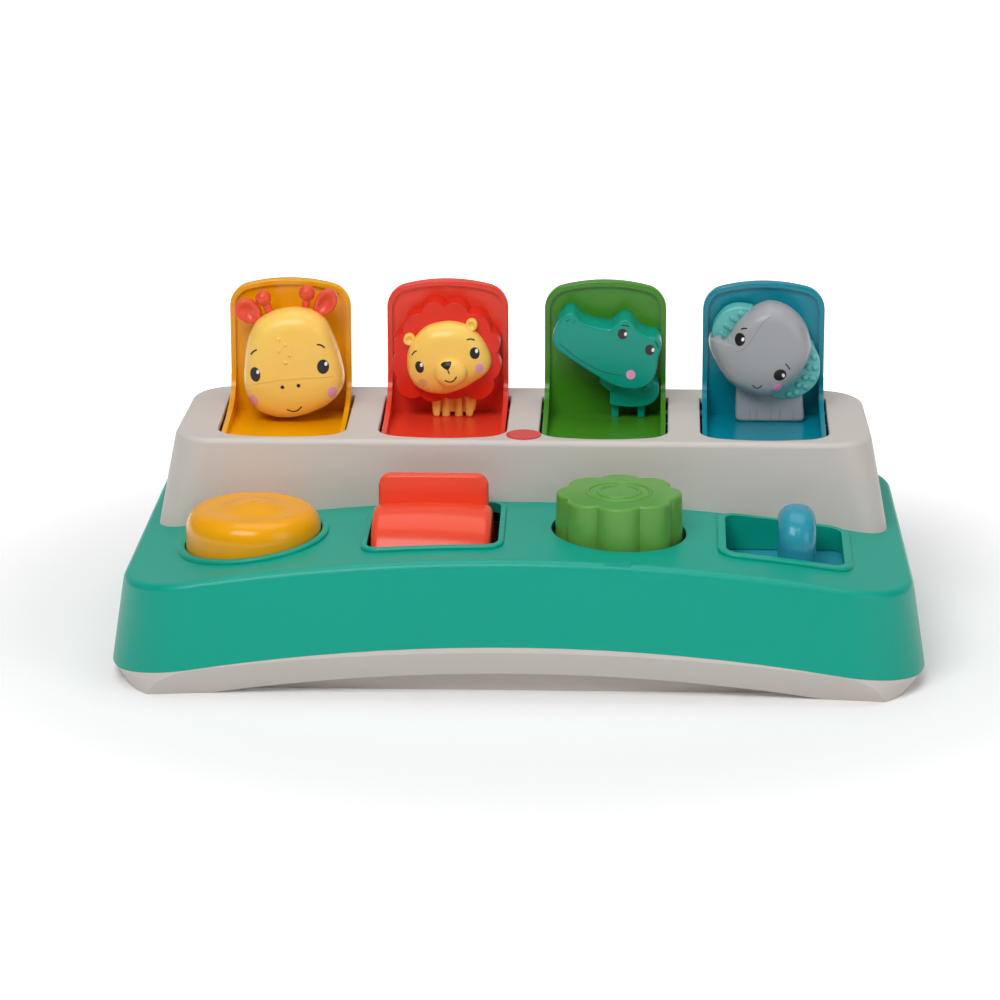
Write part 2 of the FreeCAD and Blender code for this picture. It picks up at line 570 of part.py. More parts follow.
def make_elephant(cx):
    outline = local([(-21.6, 34.4), (-17.6, 35.4), (-14.0, 34.6), (-9.4, 42.2), (-2.0, 49.6), (6, 50.8), (14.4, 44.2),
                     (18.4, 34), (16.4, 23), (8.6, 14), (-2.5, 11.6), (-11.6, 16.2), (-19, 25.6)], cx)
    centre = (cx + 1, FLOOR_Z + 31)
    head = dome(outline, centre, [(RECESS_Y, 0.94), (52, 1.0), (44, 1.0), (40, 0.93), (37.6, 0.80), (36.4, 0.58)])
    left = spline(local([(-21.2, 33.0), (-19.6, 43.0), (-12.6, 48.4), (-3.4, 47.6), (-8, 34)], cx), upright(49))
    right = spline(local([(18.4, 36), (22.8, 27), (19.6, 16), (9, 10.4), (1.6, 11.4), (8, 28)], cx), upright(47))
    ears = fuse([extrude_outline(left, 8.0), extrude_outline(right, 8.0)]).cut(head)
    trunk = rounded(local([(-11.6, 0), (17.2, 0), (15.6, 18), (-11.0, 18)], cx), [2.6, 2.6, 3, 3], upright(42))
    trunk = extrude_outline(trunk, RECESS_Y - 42)
    trunk = fillet_where(trunk, 1.6, lambda e: e.BoundBox.YMax < 42.1)
    grooves = [cylinder(cx + a, 41.6, FLOOR_Z - 1, FLOOR_Z + 5.2, 0.6) for a in (-5, -2.4, 3, 6.9, 12.4)]
    body = trunk.cut(Part.makeCompound(grooves)).cut(head).cut(ears)
    return head, ears, body


# ---------------------------------------------------------------- controls
def make_button():
    """Press button: a cap with a domed top, its retaining flange, spring seat and slotted stem."""
    top = [(0, 65.0), (8, 64.4), (13.5, 62.9), (18, 62.9), (21.5, 62.6), (24.6, 60.6), (26.3, 57.4), (BUTTON_R, 54)]
    curve = Part.BSplineCurve()
    curve.interpolate([V(r, 0, z) for r, z in top])
    low = [(BUTTON_R, 43.0), (28.8, 43.0), (28.8, 41.0), (24.6, 41.0), (24.6, 57.0), (19, 59.8), (0, 60.4)]
    points = [V(r, 0, z) for r, z in [top[-1]] + low + [top[0]]]
    sides = [Part.LineSegment(a, b).toShape() for a, b in zip(points, points[1:])]
    cap = Part.Face(Part.Wire([curve.toShape()] + sides)).revolve(V(0, 0, 0), Z_AXIS, 360)
    cap.translate(V(BUTTON_X, BUTTON_Y, 0))
    seat = cylinder(BUTTON_X, BUTTON_Y, 40, 60.5, 7.4).cut(cylinder(BUTTON_X, BUTTON_Y, 38, 54, 5.8))
    x1 = LID_X[0] + RELEASE_OFFSET - BAR_HALF - 0.5
    stem = box(x1 - 2.4, x1, -44, -24, 9.6, 60)
    slot = inclined_slot(x1 - 3, x1 + 1)
    return fuse([cap, seat, stem.cut(slot)])


def inclined_slot(x0, x1):
    """Slot in the button's stem that drives the release bar's pin back as the button goes down."""
    low_y, low_z = -38.0, 14.0
    slope = RELEASE_TRAVEL / BUTTON_TRAVEL
    half = 2.8
    rise = BUTTON_TRAVEL + 2.4
    points = [(low_y - half - 1.2 * slope, low_z - 2.4), (low_y + half - 1.2 * slope, low_z - 2.4),
              (low_y + half + rise * slope, low_z + rise), (low_y - half + rise * slope, low_z + rise)]
    return profile(points, x0, x1)


def make_lever():
    """Flip lever: a barrel-shaped drum with a paddle, running on an axle."""
    half = LEVER_WIDTH / 2
    edge = LEVER_R - 1.0
    curve = Part.Arc(V(-half + 3.2, 0, edge), V(0, 0, LEVER_R), V(half - 3.2, 0, edge)).toShape()
    left = Part.Arc(V(-half, 0, edge - 3.4), V(-half + 0.9, 0, edge - 1.0), V(-half + 3.2, 0, edge)).toShape()
    right = Part.Arc(V(half - 3.2, 0, edge), V(half - 0.9, 0, edge - 1.0), V(half, 0, edge - 3.4)).toShape()
    sides = [Part.LineSegment(V(half, 0, edge - 3.4), V(half, 0, 0)).toShape(),
             Part.LineSegment(V(half, 0, 0), V(-half, 0, 0)).toShape(),
             Part.LineSegment(V(-half, 0, 0), V(-half, 0, edge - 3.4)).toShape()]
    drum = Part.Face(Part.Wire([left, curve, right] + sides)).revolve(V(0, 0, 0), X_AXIS, 360)
    drum.translate(V(LEVER_X, LEVER_Y, LEVER_Z))
    drum = drum.cut(box(-70, 0, -70, 0, 0, LEVER_Z - 13))
    paddle = rounded([(-56.1, 50), (-12.4, 50), (-12.4, 73.7), (-56.1, 73.7)], [1, 1, 5, 5], upright(-25.2))
    paddle = Part.Face(paddle).extrude(V(0, 5.0, 0))
    paddle = fillet_where(paddle, 1.4, lambda e: e.BoundBox.ZMax > 55)
    lever = drum.fuse(paddle)
    bar_x = LID_X[1] + RELEASE_OFFSET
    slot = box(bar_x - 3.2, bar_x + 3.2, -70, 0, 0, LEVER_Z + 4.0)
    spring_slot = box(-50.5, -43.5, LEVER_Y - 9, LEVER_Y + 9, 0, LEVER_Z + 6.5)
    lever = lever.cut(slot).cut(spring_slot)
    pin = rod_x(bar_x - 4, bar_x + 4, LEVER_Y, LEVER_Z - LEVER_CRANK, 1.6)
    lever = lever.fuse(pin)
    return lever.cut(rod_x(-70, 0, LEVER_Y, LEVER_Z, 2.0 + FIT))


def knob_outline(radius, z):
    """Eight-lobed outline with one lobe facing the player."""
    valleys = [22.5 + 45 * i for i in range(8)]
    return scallops((KNOB_X, KNOB_Y), valleys, radius - 3.2, 3.2, level(z))


def make_knob():
    """Turn knob: a lobed grip on a shaft, with a crank pin at the foot."""
    grip = Part.makeLoft([knob_outline(KNOB_R, 49.5), knob_outline(KNOB_R - 0.5, 71)], True, True)
    grip = fillet_where(grip, 1.2, lambda e: e.BoundBox.ZMin > 70.9)
    rings = [torus_ring(radius, 71.0) for radius in (12.5, 8.2)]
    shaft = cylinder(KNOB_X, KNOB_Y, 24.6, 50, 6.0)
    knob = fuse([grip, shaft] + rings)
    return knob.cut(cylinder(KNOB_X, KNOB_Y, 24, 36, 1.3))


def make_knob_crank():
    """Disc screwed to the foot of the knob's shaft, with the pin that pushes the release bar."""
    disc = cylinder(KNOB_X, KNOB_Y, 20.4, 24.6, 7.8)
    pin = cylinder(KNOB_X - KNOB_CRANK, KNOB_Y, 10.5, 21, 1.6)
    screw = cylinder(KNOB_X, KNOB_Y, 19.0, 20.4, 2.6).fuse(cylinder(KNOB_X, KNOB_Y, 20, 34, 1.3))
    return disc.fuse(pin).cut(screw), screw.removeSplitter()


def torus_ring(radius, z):
    """Low raised ring on the knob's top."""
    ring = Part.makeTorus(radius, 0.9, V(KNOB_X, KNOB_Y, z - 0.3))
    return ring.cut(box(0, 80, -80, 0, z - 3, z - 0.1))


def make_slider():
    """Slider: a flat plate with an upright fin, and a slotted cam block below."""
    plate = box(75, 127.8 + SLIDE_LEFT + 0.4, -59.6, -9.6, PLATE_Z - 2.5, PLATE_Z)
    half = FIN_WIDTH / 2
    side = rounded([(FIN_Y0, PLATE_Z - 1), (FIN_Y1, PLATE_Z - 1), (FIN_Y1, FIN_TOP), (FIN_Y0, FIN_TOP)],
                   [0.5, 0.5, 12, 14], lambda a, b: V(FIN_X - half, a, b))
    fin = Part.Face(side).extrude(V(FIN_WIDTH, 0, 0))
    fin = fillet_where(fin, 6.4, lambda e: e.BoundBox.ZMax > PLATE_Z + 3 and e.BoundBox.XLength < 0.1)
    bar_x = LID_X[3] + RELEASE_OFFSET
    cam = box(bar_x - 13, bar_x + 19, -43, -27, 33, PLATE_Z - 2)
    lever = cam.cut(cam_slot(bar_x))
    return fuse([plate, fin, lever])


def cam_slot(x):
    """Slanting slot under the slider, in the plane of the plate."""
    half = 2.2
    y = -35.0
    ends = [(-SLIDE_RIGHT - 2.2), (SLIDE_LEFT + 2.2)]
    points = [V(x + ends[0], y + SLIDE_SLOPE * ends[0] - half, 30), V(x + ends[1], y + SLIDE_SLOPE * ends[1] - half, 30),
              V(x + ends[1], y + SLIDE_SLOPE * ends[1] + half, 30), V(x + ends[0], y + SLIDE_SLOPE * ends[0] + half, 30)]
    return Part.Face(Part.makePolygon(points + points[:1])).extrude(V(0, 0, PLATE_Z - 2.5 - 30))


# ---------------------------------------------------------------- release bars
def make_bar(index, front_y):
    """Flat bar that runs back under one lid's well."""
    x = LID_X[index] + RELEASE_OFFSET
    return x, box(x - BAR_HALF, x + BAR_HALF, front_y, 71.5, BAR_Z, BAR_TOP)


def make_catch(index):
    """Springy strip at the rear end of a release bar, with the nose that holds the shut lid."""
    x = LID_X[index] + RELEASE_OFFSET
    points = [(69.8, BAR_TOP), (71.0, BAR_TOP), (71.0, 73.2), (65.8, 73.2), (65.8, 72.4), (69.8, 67)]
    return profile(points, x - BAR_HALF, x + BAR_HALF)


def make_releases():
    bars = []
    x, bar = make_bar(0, -43.0)
    pin = rod_x(x - 5.2, x - 1, -38.0, 14.0, 1.8)
    bars.append(fuse([bar, box(x - BAR_HALF, x + BAR_HALF, -43, -33, BAR_Z, 17), pin]))
    x, bar = make_bar(1, -41.0)
    fork = box(x - BAR_HALF, x + BAR_HALF, -41, -31, BAR_Z, LEVER_Z - 3.0)
    fork = fork.cut(box(x - 9, x + 9, LEVER_Y - 1.8, LEVER_Y + 1.8, LEVER_Z - 10, LEVER_Z))
    bars.append(fuse([bar, fork]))
    x, bar = make_bar(2, -41.5)
    block = box(x - 5.5, x + 5, -41.5, -31.5, BAR_Z, 16)
    block = block.cut(box(x - 9, x + 2.6, KNOB_Y - 1.95, KNOB_Y + 1.95, 9.5, 20))
    bars.append(fuse([bar, block]))
    x, bar = make_bar(3, -40.0)
    post = box(x - BAR_HALF, x + BAR_HALF, -40, -30, BAR_Z, 30)
    bars.append(fuse([bar, post, cylinder(x, -35.0, 29, PLATE_Z - 3, 1.9)]))
    return bars


def make_screws():
    """Six pan-head screws that hold deck and base together."""
    screws = []
    for x, y in SCREWS:
        head = cylinder(x, y, 2.6, 5.0, 3.0)
        screws.append(head.fuse(cylinder(x, y, 4.9, SEAM_Z + 4, 1.5)).removeSplitter())
    return Part.makeCompound(screws)


# ---------------------------------------------------------------- build
def build():
    save("base_tray", make_base())
    save("deck_casing", make_deck())
    save("rear_housing", make_housing())
    save("case_screws", make_screws())
    save("badge_disc", cylinder(0.6, 4.5, TOP_Z, TOP_Z + 0.4, 7.0))
    for index, (name, cx) in enumerate(zip(LID_NAMES, LID_X)):
        save("%s_lid" % name, make_lid(cx))
        save("%s_lid_spring" % name, lid_spring(cx))
        save("%s_catch" % name, make_catch(index))
    head, trim = make_giraffe(LID_X[0])
    save("giraffe_head", head)
    save("giraffe_horns_and_ears", trim)
    mane, head, body = make_lion(LID_X[1])
    save("lion_mane", mane)
    save("lion_head", head)
    save("lion_body", body)
    head, body = make_crocodile(LID_X[2])
    head = head.cut(make_lid(LID_X[2]))
    save("crocodile_head", head)
    save("crocodile_body", body)
    head, ears, body = make_elephant(LID_X[3])
    save("elephant_head", head)
    save("elephant_ears", ears)
    save("elephant_body", body)
    save("push_button", make_button())
    save("button_spring", coil(V(BUTTON_X, BUTTON_Y, 3.1), Z_AXIS, 4.5, 0.6, 7, 50.2))
    save("flip_lever", make_lever())
    save("lever_axle", rod_x(-63.4, -5.0, LEVER_Y, LEVER_Z, 2.0))
    save("lever_spring", coil(V(-49.5, LEVER_Y, LEVER_Z), X_AXIS, 3.4, 0.5, 4, 5.0))
    save("turn_knob", make_knob())
    crank, screw = make_knob_crank()
    save("knob_crank", crank)
    save("knob_screw", screw)
    save("slider_button", make_slider())
    for name, bar in zip(LID_NAMES, make_releases()):
        save("%s_release_bar" % name, bar)


build()
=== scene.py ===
"""Pop-up animal toy: the looks of its moulded casing, four lids with their animals and four controls."""
import math

import bmesh
import bpy
import numpy as np
from mathutils import Matrix, Vector


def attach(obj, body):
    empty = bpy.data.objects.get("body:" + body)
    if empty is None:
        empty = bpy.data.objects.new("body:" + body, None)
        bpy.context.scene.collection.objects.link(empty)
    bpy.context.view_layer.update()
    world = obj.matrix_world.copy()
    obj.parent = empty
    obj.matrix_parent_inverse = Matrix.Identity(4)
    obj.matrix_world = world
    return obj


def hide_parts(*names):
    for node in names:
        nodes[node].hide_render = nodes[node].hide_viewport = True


MM = 0.001                         # the figures are laid out in mm, and the scene is in metres
LID_X = {"giraffe": -97.5, "lion": -32.5, "crocodile": 32.5, "elephant": 97.5}      # middle of each lid
FLOOR_Z = 76.3                     # floor of a lid that stands open, from which the figures are measured


# ------------------------------------------------------------------ frame
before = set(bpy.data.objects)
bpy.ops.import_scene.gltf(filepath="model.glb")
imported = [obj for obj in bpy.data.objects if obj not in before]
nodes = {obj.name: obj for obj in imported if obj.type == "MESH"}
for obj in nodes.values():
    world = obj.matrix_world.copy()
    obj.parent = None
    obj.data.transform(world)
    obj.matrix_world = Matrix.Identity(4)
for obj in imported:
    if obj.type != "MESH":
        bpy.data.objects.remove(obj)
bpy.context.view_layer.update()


# ------------------------------------------------------------------ materials
def srgb(code):
    """Linear colour of an sRGB hex code."""
    parts = [int(code[i:i + 2], 16) / 255 for i in (1, 3, 5)]
    return [c / 12.92 if c <= 0.04045 else ((c + 0.055) / 1.055) ** 2.4 for c in parts] + [1.0]


def add(tree, kind, settings=(), *sources, **links):
    """One node of a kind, with its settings by socket or property name. Its links come from other nodes'
    sockets: sources go to its inputs in their order, and links to the inputs they name."""
    node = tree.nodes.new(kind)
    for key, value in dict(settings).items():
        if key in node.inputs:
            node.inputs[key].default_value = value
        else:
            setattr(node, key, value)
    for place, source in enumerate(sources):
        tree.links.new(source, node.inputs[place])
    for socket, source in links.items():
        tree.links.new(source, node.inputs[socket.replace("_", " ")])
    return node


ABS_IOR = 1.53
SKIN_LEVEL = 0.28                  # a moulded skin mirrors less than polished plastic
GLOSS_SPREAD = 0.04                # its roughness wanders by this much either way
DRIFT_SIZE = 55.56                 # mm from patch to patch of the tonal drift, wide as the melt's flow
GRAIN_SIZE = 0.4545                # mm; a mould's grit is nearer 0.1 mm, drawn coarser so that it shows
GRAIN_DEPTH = 0.2                  # mm


def moulded(name, code, rough=0.34, grain=0.05, tone=0.03):
    """Injection-moulded ABS: faint tonal drift from the melt, a fine mould texture and an uneven gloss."""
    mat = bpy.data.materials.new(name)
    mat.use_nodes = True
    tree = mat.node_tree
    shader = tree.nodes["Principled BSDF"]
    shader.inputs["IOR"].default_value = ABS_IOR
    shader.inputs["Specular IOR Level"].default_value = SKIN_LEVEL
    base = srgb(code)[:3]
    dark = [c * (1 - tone) for c in base] + [1.0]
    light = [min(1.0, c * (1 + tone)) for c in base] + [1.0]
    place = add(tree, "ShaderNodeTexCoord").outputs["Object"]
    drift = add(tree, "ShaderNodeTexNoise", {"Scale": 1 / (DRIFT_SIZE * MM), "Detail": 2.0}, Vector=place)
    tint = add(tree, "ShaderNodeMix", {"data_type": "RGBA", "A": dark, "B": light},
               Factor=drift.outputs["Fac"])
    low, high = rough - GLOSS_SPREAD, rough + GLOSS_SPREAD
    gloss = add(tree, "ShaderNodeMapRange", {"To Min": low, "To Max": high}, Value=drift.outputs["Fac"])
    fine = add(tree, "ShaderNodeTexNoise", {"Scale": 1 / (GRAIN_SIZE * MM), "Detail": 1.0}, Vector=place)
    bump = add(tree, "ShaderNodeBump", {"Strength": grain, "Distance": GRAIN_DEPTH * MM},
               Height=fine.outputs["Fac"])
    tree.links.new(tint.outputs["Result"], shader.inputs["Base Color"])
    tree.links.new(gloss.outputs["Result"], shader.inputs["Roughness"])
    tree.links.new(bump.outputs["Normal"], shader.inputs["Normal"])
    return mat


def bare_steel(name, code, rough):
    """Drawn or plated steel: the same uneven gloss on a metal, so it mirrors the room in soft patches."""
    mat = moulded(name, code, rough, grain=0.03)
    mat.node_tree.nodes["Principled BSDF"].inputs["Metallic"].default_value = 1.0
    return mat


def ink(name, code, rough=0.35, tone=0.01):
    """Pad printing ink: the plastic's shader without its grain, and with hardly any drift."""
    return moulded(name, code, rough, grain=0.0, tone=tone)


# Casings, from spark eroded moulds: the texture breaks the light up into a soft, even sheen.
teal = moulded("teal moulded ABS", "#00A18B", rough=0.36, grain=0.06)  # blue green, the one large cool area
warm_grey = moulded("warm grey moulded ABS", "#CFC7C1", rough=0.42, grain=0.08)  # nearly matt

# Lids, from smoother moulds: strong opaque colours with a clear highlight along each rounded edge.
ochre = moulded("ochre moulded ABS", "#EEA600", rough=0.22)  # warm, turns orange in the corners
coral = moulded("coral red moulded ABS", "#E8402A", rough=0.22)  # glows where the cheeks face the floor
leaf = moulded("leaf green moulded ABS", "#43891F", rough=0.22)  # deep green, on which highlights show most
petrol = moulded("petrol blue moulded ABS", "#00869A", rough=0.22)  # deep blue with pale highlights

# Animals, from finely blasted moulds: satin, so that round forms read by shade more than by highlights.
yellow_face = moulded("pale yellow satin ABS", "#FFD065", rough=0.28)  # light and creamy
red_mane = moulded("scarlet satin ABS", "#E12D18", rough=0.30)  # a shade deeper than its lid
coral_trim = moulded("coral satin ABS", "#EC5439", rough=0.26)  # horns and ears stand out from ochre
turquoise = moulded("turquoise satin ABS", "#009A86", rough=0.26)  # bluer than the green lid behind it
elephant_grey = moulded("cool grey satin ABS", "#A5A6AA", rough=0.28)  # neutral, soft shading
aqua = moulded("aqua satin ABS", "#66BDBA", rough=0.24)  # pale ears, small bright ribs

# Controls, from polished moulds: the glossiest pieces, with small sharp highlights.
button_yellow = moulded("amber moulded ABS", "#F2A60A", rough=0.20)  # a bright ring around the dished top
lever_red = moulded("orange red moulded ABS", "#F24E30", rough=0.22)  # one long highlight on the barrel
knob_green = moulded("soft green moulded ABS", "#63A144", rough=0.22)  # a highlight on each lobe
slider_blue = moulded("sea blue moulded ABS", "#2E97AE", rough=0.20)  # a bright crown
badge_red = moulded("signal red glossy ABS", "#DC1E12", rough=0.15)  # flat and shiny, like enamel

# Inside pieces and fasteners, which show only through gaps and from below.
nylon = moulded("natural white nylon", "#DEDCD5", rough=0.5)  # waxy and dull
spring_wire = bare_steel("drawn spring wire", "#A6A8AA", 0.3)  # bright lines along the coils
zinc = bare_steel("zinc plated steel", "#B4B6B8", 0.35)  # pale metal with a greyish shine

# Pad printing inks: thin, smooth and flat in tone, without the mould's grain, so they read as drawn on.
black_ink = ink("black pad printing ink", "#211D1D", rough=0.3)  # eyes and nose, nearly black
brown_ink = ink("dark brown pad printing ink", "#3A2A2A", rough=0.3)  # eyes that look softer on green
line_ink = ink("blue black pad printing ink", "#1B2233")  # thin crisp lines
white_ink = ink("white pad printing ink", "#FBFBFB", rough=0.3)  # glints, the whitest spots
pink_ink = ink("pink pad printing ink", "#EBA6CD", tone=0.02)  # cool pink cheeks
rose_ink = ink("bright rose pad printing ink", "#F49AC4", tone=0.02)  # stronger, to show on green and grey
faded_ink = ink("thin salmon pad printing ink", "#E9B37C", tone=0.02)  # lets the yellow through
mouth_green = ink("bottle green pad printing ink", "#01574F")  # a dark line, tone on tone

# Moulded seams and grooves, drawn as thin lines of painted shade: a darker colour of the same plastic
# stands in for the shade that lies in a groove.
groove_shade_yellow = moulded("painted groove shade on yellow ABS", "#EFBE55", rough=0.4, grain=0.0)
groove_shade_grey = moulded("painted groove shade on grey ABS", "#94969A", rough=0.4, grain=0.0)

FINISH = {
    "base_tray": warm_grey, "deck_casing": teal, "rear_housing": warm_grey, "case_screws": zinc,
    "badge_disc": badge_red, "lever_axle": zinc, "giraffe_lid": ochre, "lion_lid": coral,
    "crocodile_lid": leaf, "elephant_lid": petrol, "giraffe_head": yellow_face,
    "giraffe_horns_and_ears": coral_trim, "lion_mane": red_mane, "lion_head": yellow_face,
    "lion_body": yellow_face, "crocodile_head": turquoise, "crocodile_body": turquoise,
    "elephant_head": elephant_grey, "elephant_ears": aqua, "elephant_body": elephant_grey,
    "push_button": button_yellow, "button_spring": spring_wire, "flip_lever": lever_red,
    "lever_spring": spring_wire, "turn_knob": knob_green, "knob_crank": nylon, "knob_screw": zinc,
    "slider_button": slider_blue,
}
for animal in LID_X:
    FINISH[animal + "_lid_spring"] = spring_wire
    FINISH[animal + "_catch"] = nylon
    FINISH[animal + "_release_bar"] = nylon
for node, mat in FINISH.items():
    nodes[node].data.materials.clear()
    nodes[node].data.materials.append(mat)


# ------------------------------------------------------------------ figures, as smooth moulded shells
BACK_Y = 59.0                      # the figures' backs lie on the lid's panel
MERGE = 0.002                      # mm within which two points are one
CREASE = math.radians(40)          # edges that turn more than this stay sharp
DISH_RIM = 0.92                    # an ear's dish starts at this share of its front
EDGE_ROWS, DISH_ROWS = 6, 12       # rings on a rounded edge, and on a dish
BALL_ROWS, BALL_POINTS = 18, 32    # rings on a horn's ball, and points on each ring


def around(count):
    """The angles of count points around a circle."""
    return np.linspace(0, 2 * math.pi, count + 1)[:-1]


def through(points, closed=True, per=6):
    """Catmull-Rom curve. Between p1 and p2, with neighbours p0 and p3, it is
    p1 + t (p2 - p0) / 2 + t^2 (2 p0 - 5 p1 + 4 p2 - p3) / 2 + t^3 (3 p1 - p0 - 3 p2 + p3) / 2."""
    p = np.array(points, dtype=float)
    if closed:
        p0, p1, p2, p3 = np.roll(p, 1, axis=0), p, np.roll(p, -1, axis=0), np.roll(p, -2, axis=0)
    else:
        p = np.concatenate([[2 * p[0] - p[1]], p, [2 * p[-1] - p[-2]]])
        p0, p1, p2, p3 = p[:-3], p[1:-2], p[2:-1], p[3:]
    t = np.linspace(0, 1, per, endpoint=False)[None, :, None]
    p0, p1, p2, p3 = p0[:, None], p1[:, None], p2[:, None], p3[:, None]
    curve = p1 + t * (p2 - p0) / 2 + t ** 2 * (2 * p0 - 5 * p1 + 4 * p2 - p3) / 2
    curve = (curve + t ** 3 * (3 * p1 - p0 - 3 * p2 + p3) / 2).reshape(-1, p.shape[1])
    return curve if closed else np.concatenate([curve, p[-2:-1]])


def scalloped(notches, lobes, per=14):
    """Round lobes: each is the arc from one notch a through its lobe's tip m to the next notch b. The arc's
    middle is a + (v_z u.u - u_z v.v, u_x v.v - v_x u.u) / d, where u is m - a, v is b - a and
    d is 2 (u_x v_z - u_z v_x)."""
    a, m = np.array(notches, dtype=float), np.array(lobes, dtype=float)
    b = np.roll(a, -1, axis=0)
    u, v = m - a, b - a
    det = 2 * (u[:, 0] * v[:, 1] - u[:, 1] * v[:, 0])
    uu, vv = (u ** 2).sum(axis=1), (v ** 2).sum(axis=1)
    mid = a + np.stack([v[:, 1] * uu - u[:, 1] * vv, u[:, 0] * vv - v[:, 0] * uu], axis=-1) / det[:, None]
    ends = np.stack([a - mid, m - mid, b - mid])
    angle = np.unwrap(np.arctan2(ends[..., 1], ends[..., 0]), axis=0)
    t = np.linspace(0, 1, per, endpoint=False)[None]
    turn = angle[0][:, None] + t * (angle[2] - angle[0])[:, None]
    radius = np.hypot(ends[0, :, 0], ends[0, :, 1])[:, None]
    x, z = mid[:, :1] + radius * np.cos(turn), mid[:, 1:] + radius * np.sin(turn)
    return np.stack([x, z], axis=-1).reshape(-1, 2)


def shell(name, body, rings, mat, node=None):
    """A closed piece from rings, an array of (ring, point, axis) in mm, with quads between neighbouring
    rings and a face at each end. Points that fall together are merged."""
    count, size = rings.shape[:2]
    index = np.arange(count * size).reshape(count, size)
    loop = np.concatenate([index, index[:, :1]], axis=1)
    quads = np.stack([loop[:-1, :-1], loop[:-1, 1:], loop[1:, 1:], loop[1:, :-1]], axis=-1).reshape(-1, 4)
    ends = [index[0].tolist(), index[-1].tolist()]
    mesh = bpy.data.meshes.new(name)
    mesh.from_pydata(rings.reshape(-1, 3) * MM, [], quads.tolist() + ends)
    work = bmesh.new()
    work.from_mesh(mesh)
    bmesh.ops.remove_doubles(work, verts=work.verts, dist=MERGE * MM)
    bmesh.ops.recalc_face_normals(work, faces=work.faces)
    work.to_mesh(mesh)
    work.free()
    mesh.polygons.foreach_set("use_smooth", np.ones(len(mesh.polygons), dtype=bool))
    mesh.set_sharp_from_angle(angle=CREASE)
    mesh.materials.append(mat)
    piece = bpy.data.objects.new(name, mesh)
    bpy.context.collection.objects.link(piece)
    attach(piece, body)
    if node:
        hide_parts(node)
    return piece


def crowned(animal, outline, centre, sections):
    """Rings of a domed head: at depth y the outline is scaled by k about a centre, c + k (outline - c),
    where (y, k) runs on a smooth curve through the sections and ends at the crown's middle."""
    rim = through(outline) + np.array([LID_X[animal], FLOOR_Z])
    c = np.array([LID_X[animal] + centre[0], FLOOR_Z + centre[1]])
    y, k = through(sections, closed=False, per=5).T
    k = np.clip(k, 0.0, None)
    flat = c + k[:, None, None] * (rim - c)[None]
    return np.stack([flat[..., 0], np.broadcast_to(y[:, None], flat.shape[:2]), flat[..., 1]], axis=-1)


def slab(animal, rim, front, back, soft, dish=0.0, middle=None):
    """Rings of a flat figure: the rim runs from the back to soft behind the front, then turns in on a
    quarter circle, by soft (1 - cos a) at depth front + soft (1 - sin a). With a middle, more rings
    shrink to it by k and sink by dish (1 - (k / DISH_RIM)^2)^2."""
    rim = np.array(rim) + np.array([LID_X[animal], FLOOR_Z])
    step = np.roll(rim, -1, axis=0) - np.roll(rim, 1, axis=0)
    step /= np.hypot(step[:, 0], step[:, 1])[:, None]
    inward = np.stack([-step[:, 1], step[:, 0]], axis=-1)
    area = (rim[:, 0] * np.roll(rim[:, 1], -1) - np.roll(rim[:, 0], -1) * rim[:, 1]).sum()
    inward *= np.sign(area)
    a = np.linspace(0, math.pi / 2, EDGE_ROWS)
    inset = np.concatenate([[0.0], soft * (1 - np.cos(a))])
    y = np.concatenate([[back], front + soft * (1 - np.sin(a))])
    flat = rim[None] + inset[:, None, None] * inward[None]
    if middle is not None:
        c = np.array([LID_X[animal] + middle[0], FLOOR_Z + middle[1]])
        k = np.linspace(DISH_RIM, 0.0, DISH_ROWS)
        flat = np.concatenate([flat, c + k[:, None, None] * (flat[-1] - c)[None]])
        y = np.concatenate([y, front + dish * (1 - (k / DISH_RIM) ** 2) ** 2])
    return np.stack([flat[..., 0], np.broadcast_to(y[:, None], flat.shape[:2]), flat[..., 1]], axis=-1)


def horn(foot, ball, stem_r=1.6, ball_r=3.3):
    """Rings about the line from foot to ball: a stem of radius stem_r, then a ball of radius R, whose
    ring at s from its middle has radius sqrt(R^2 - s^2)."""
    low, high = np.array(foot, dtype=float), np.array(ball, dtype=float)
    length = np.linalg.norm(high - low)
    axis = (high - low) / length
    across = np.cross(axis, [0, 1, 0])
    across /= np.linalg.norm(across)
    upright = np.cross(axis, across)
    start = -math.sqrt(ball_r ** 2 - stem_r ** 2)
    s = ball_r * np.sin(np.linspace(math.asin(start / ball_r), math.pi / 2, BALL_ROWS))
    run = np.concatenate([[0.0], length + s])
    radius = np.concatenate([[stem_r], np.sqrt(np.clip(ball_r ** 2 - s ** 2, 0, None))])
    t = around(BALL_POINTS)
    circle = np.cos(t)[:, None] * across + np.sin(t)[:, None] * upright
    return low + run[:, None, None] * axis + radius[:, None, None] * circle[None]


def flat_points(points, radii, per=5):
    """A closed outline of straight sides whose corners are rounded: quadratic curves between the points
    that lie the radius from each corner, (1 - t)^2 a + 2 t (1 - t) c + t^2 b."""
    c = np.array(points, dtype=float)
    to_last, to_next = np.roll(c, 1, axis=0) - c, np.roll(c, -1, axis=0) - c
    a = c + to_last / np.hypot(*to_last.T)[:, None] * np.array(radii)[:, None]
    b = c + to_next / np.hypot(*to_next.T)[:, None] * np.array(radii)[:, None]
    t = np.linspace(0, 1, per)[None, :, None]
    return ((1 - t) ** 2 * a[:, None] + 2 * t * (1 - t) * c[:, None] + t ** 2 * b[:, None]).reshape(-1, 2)


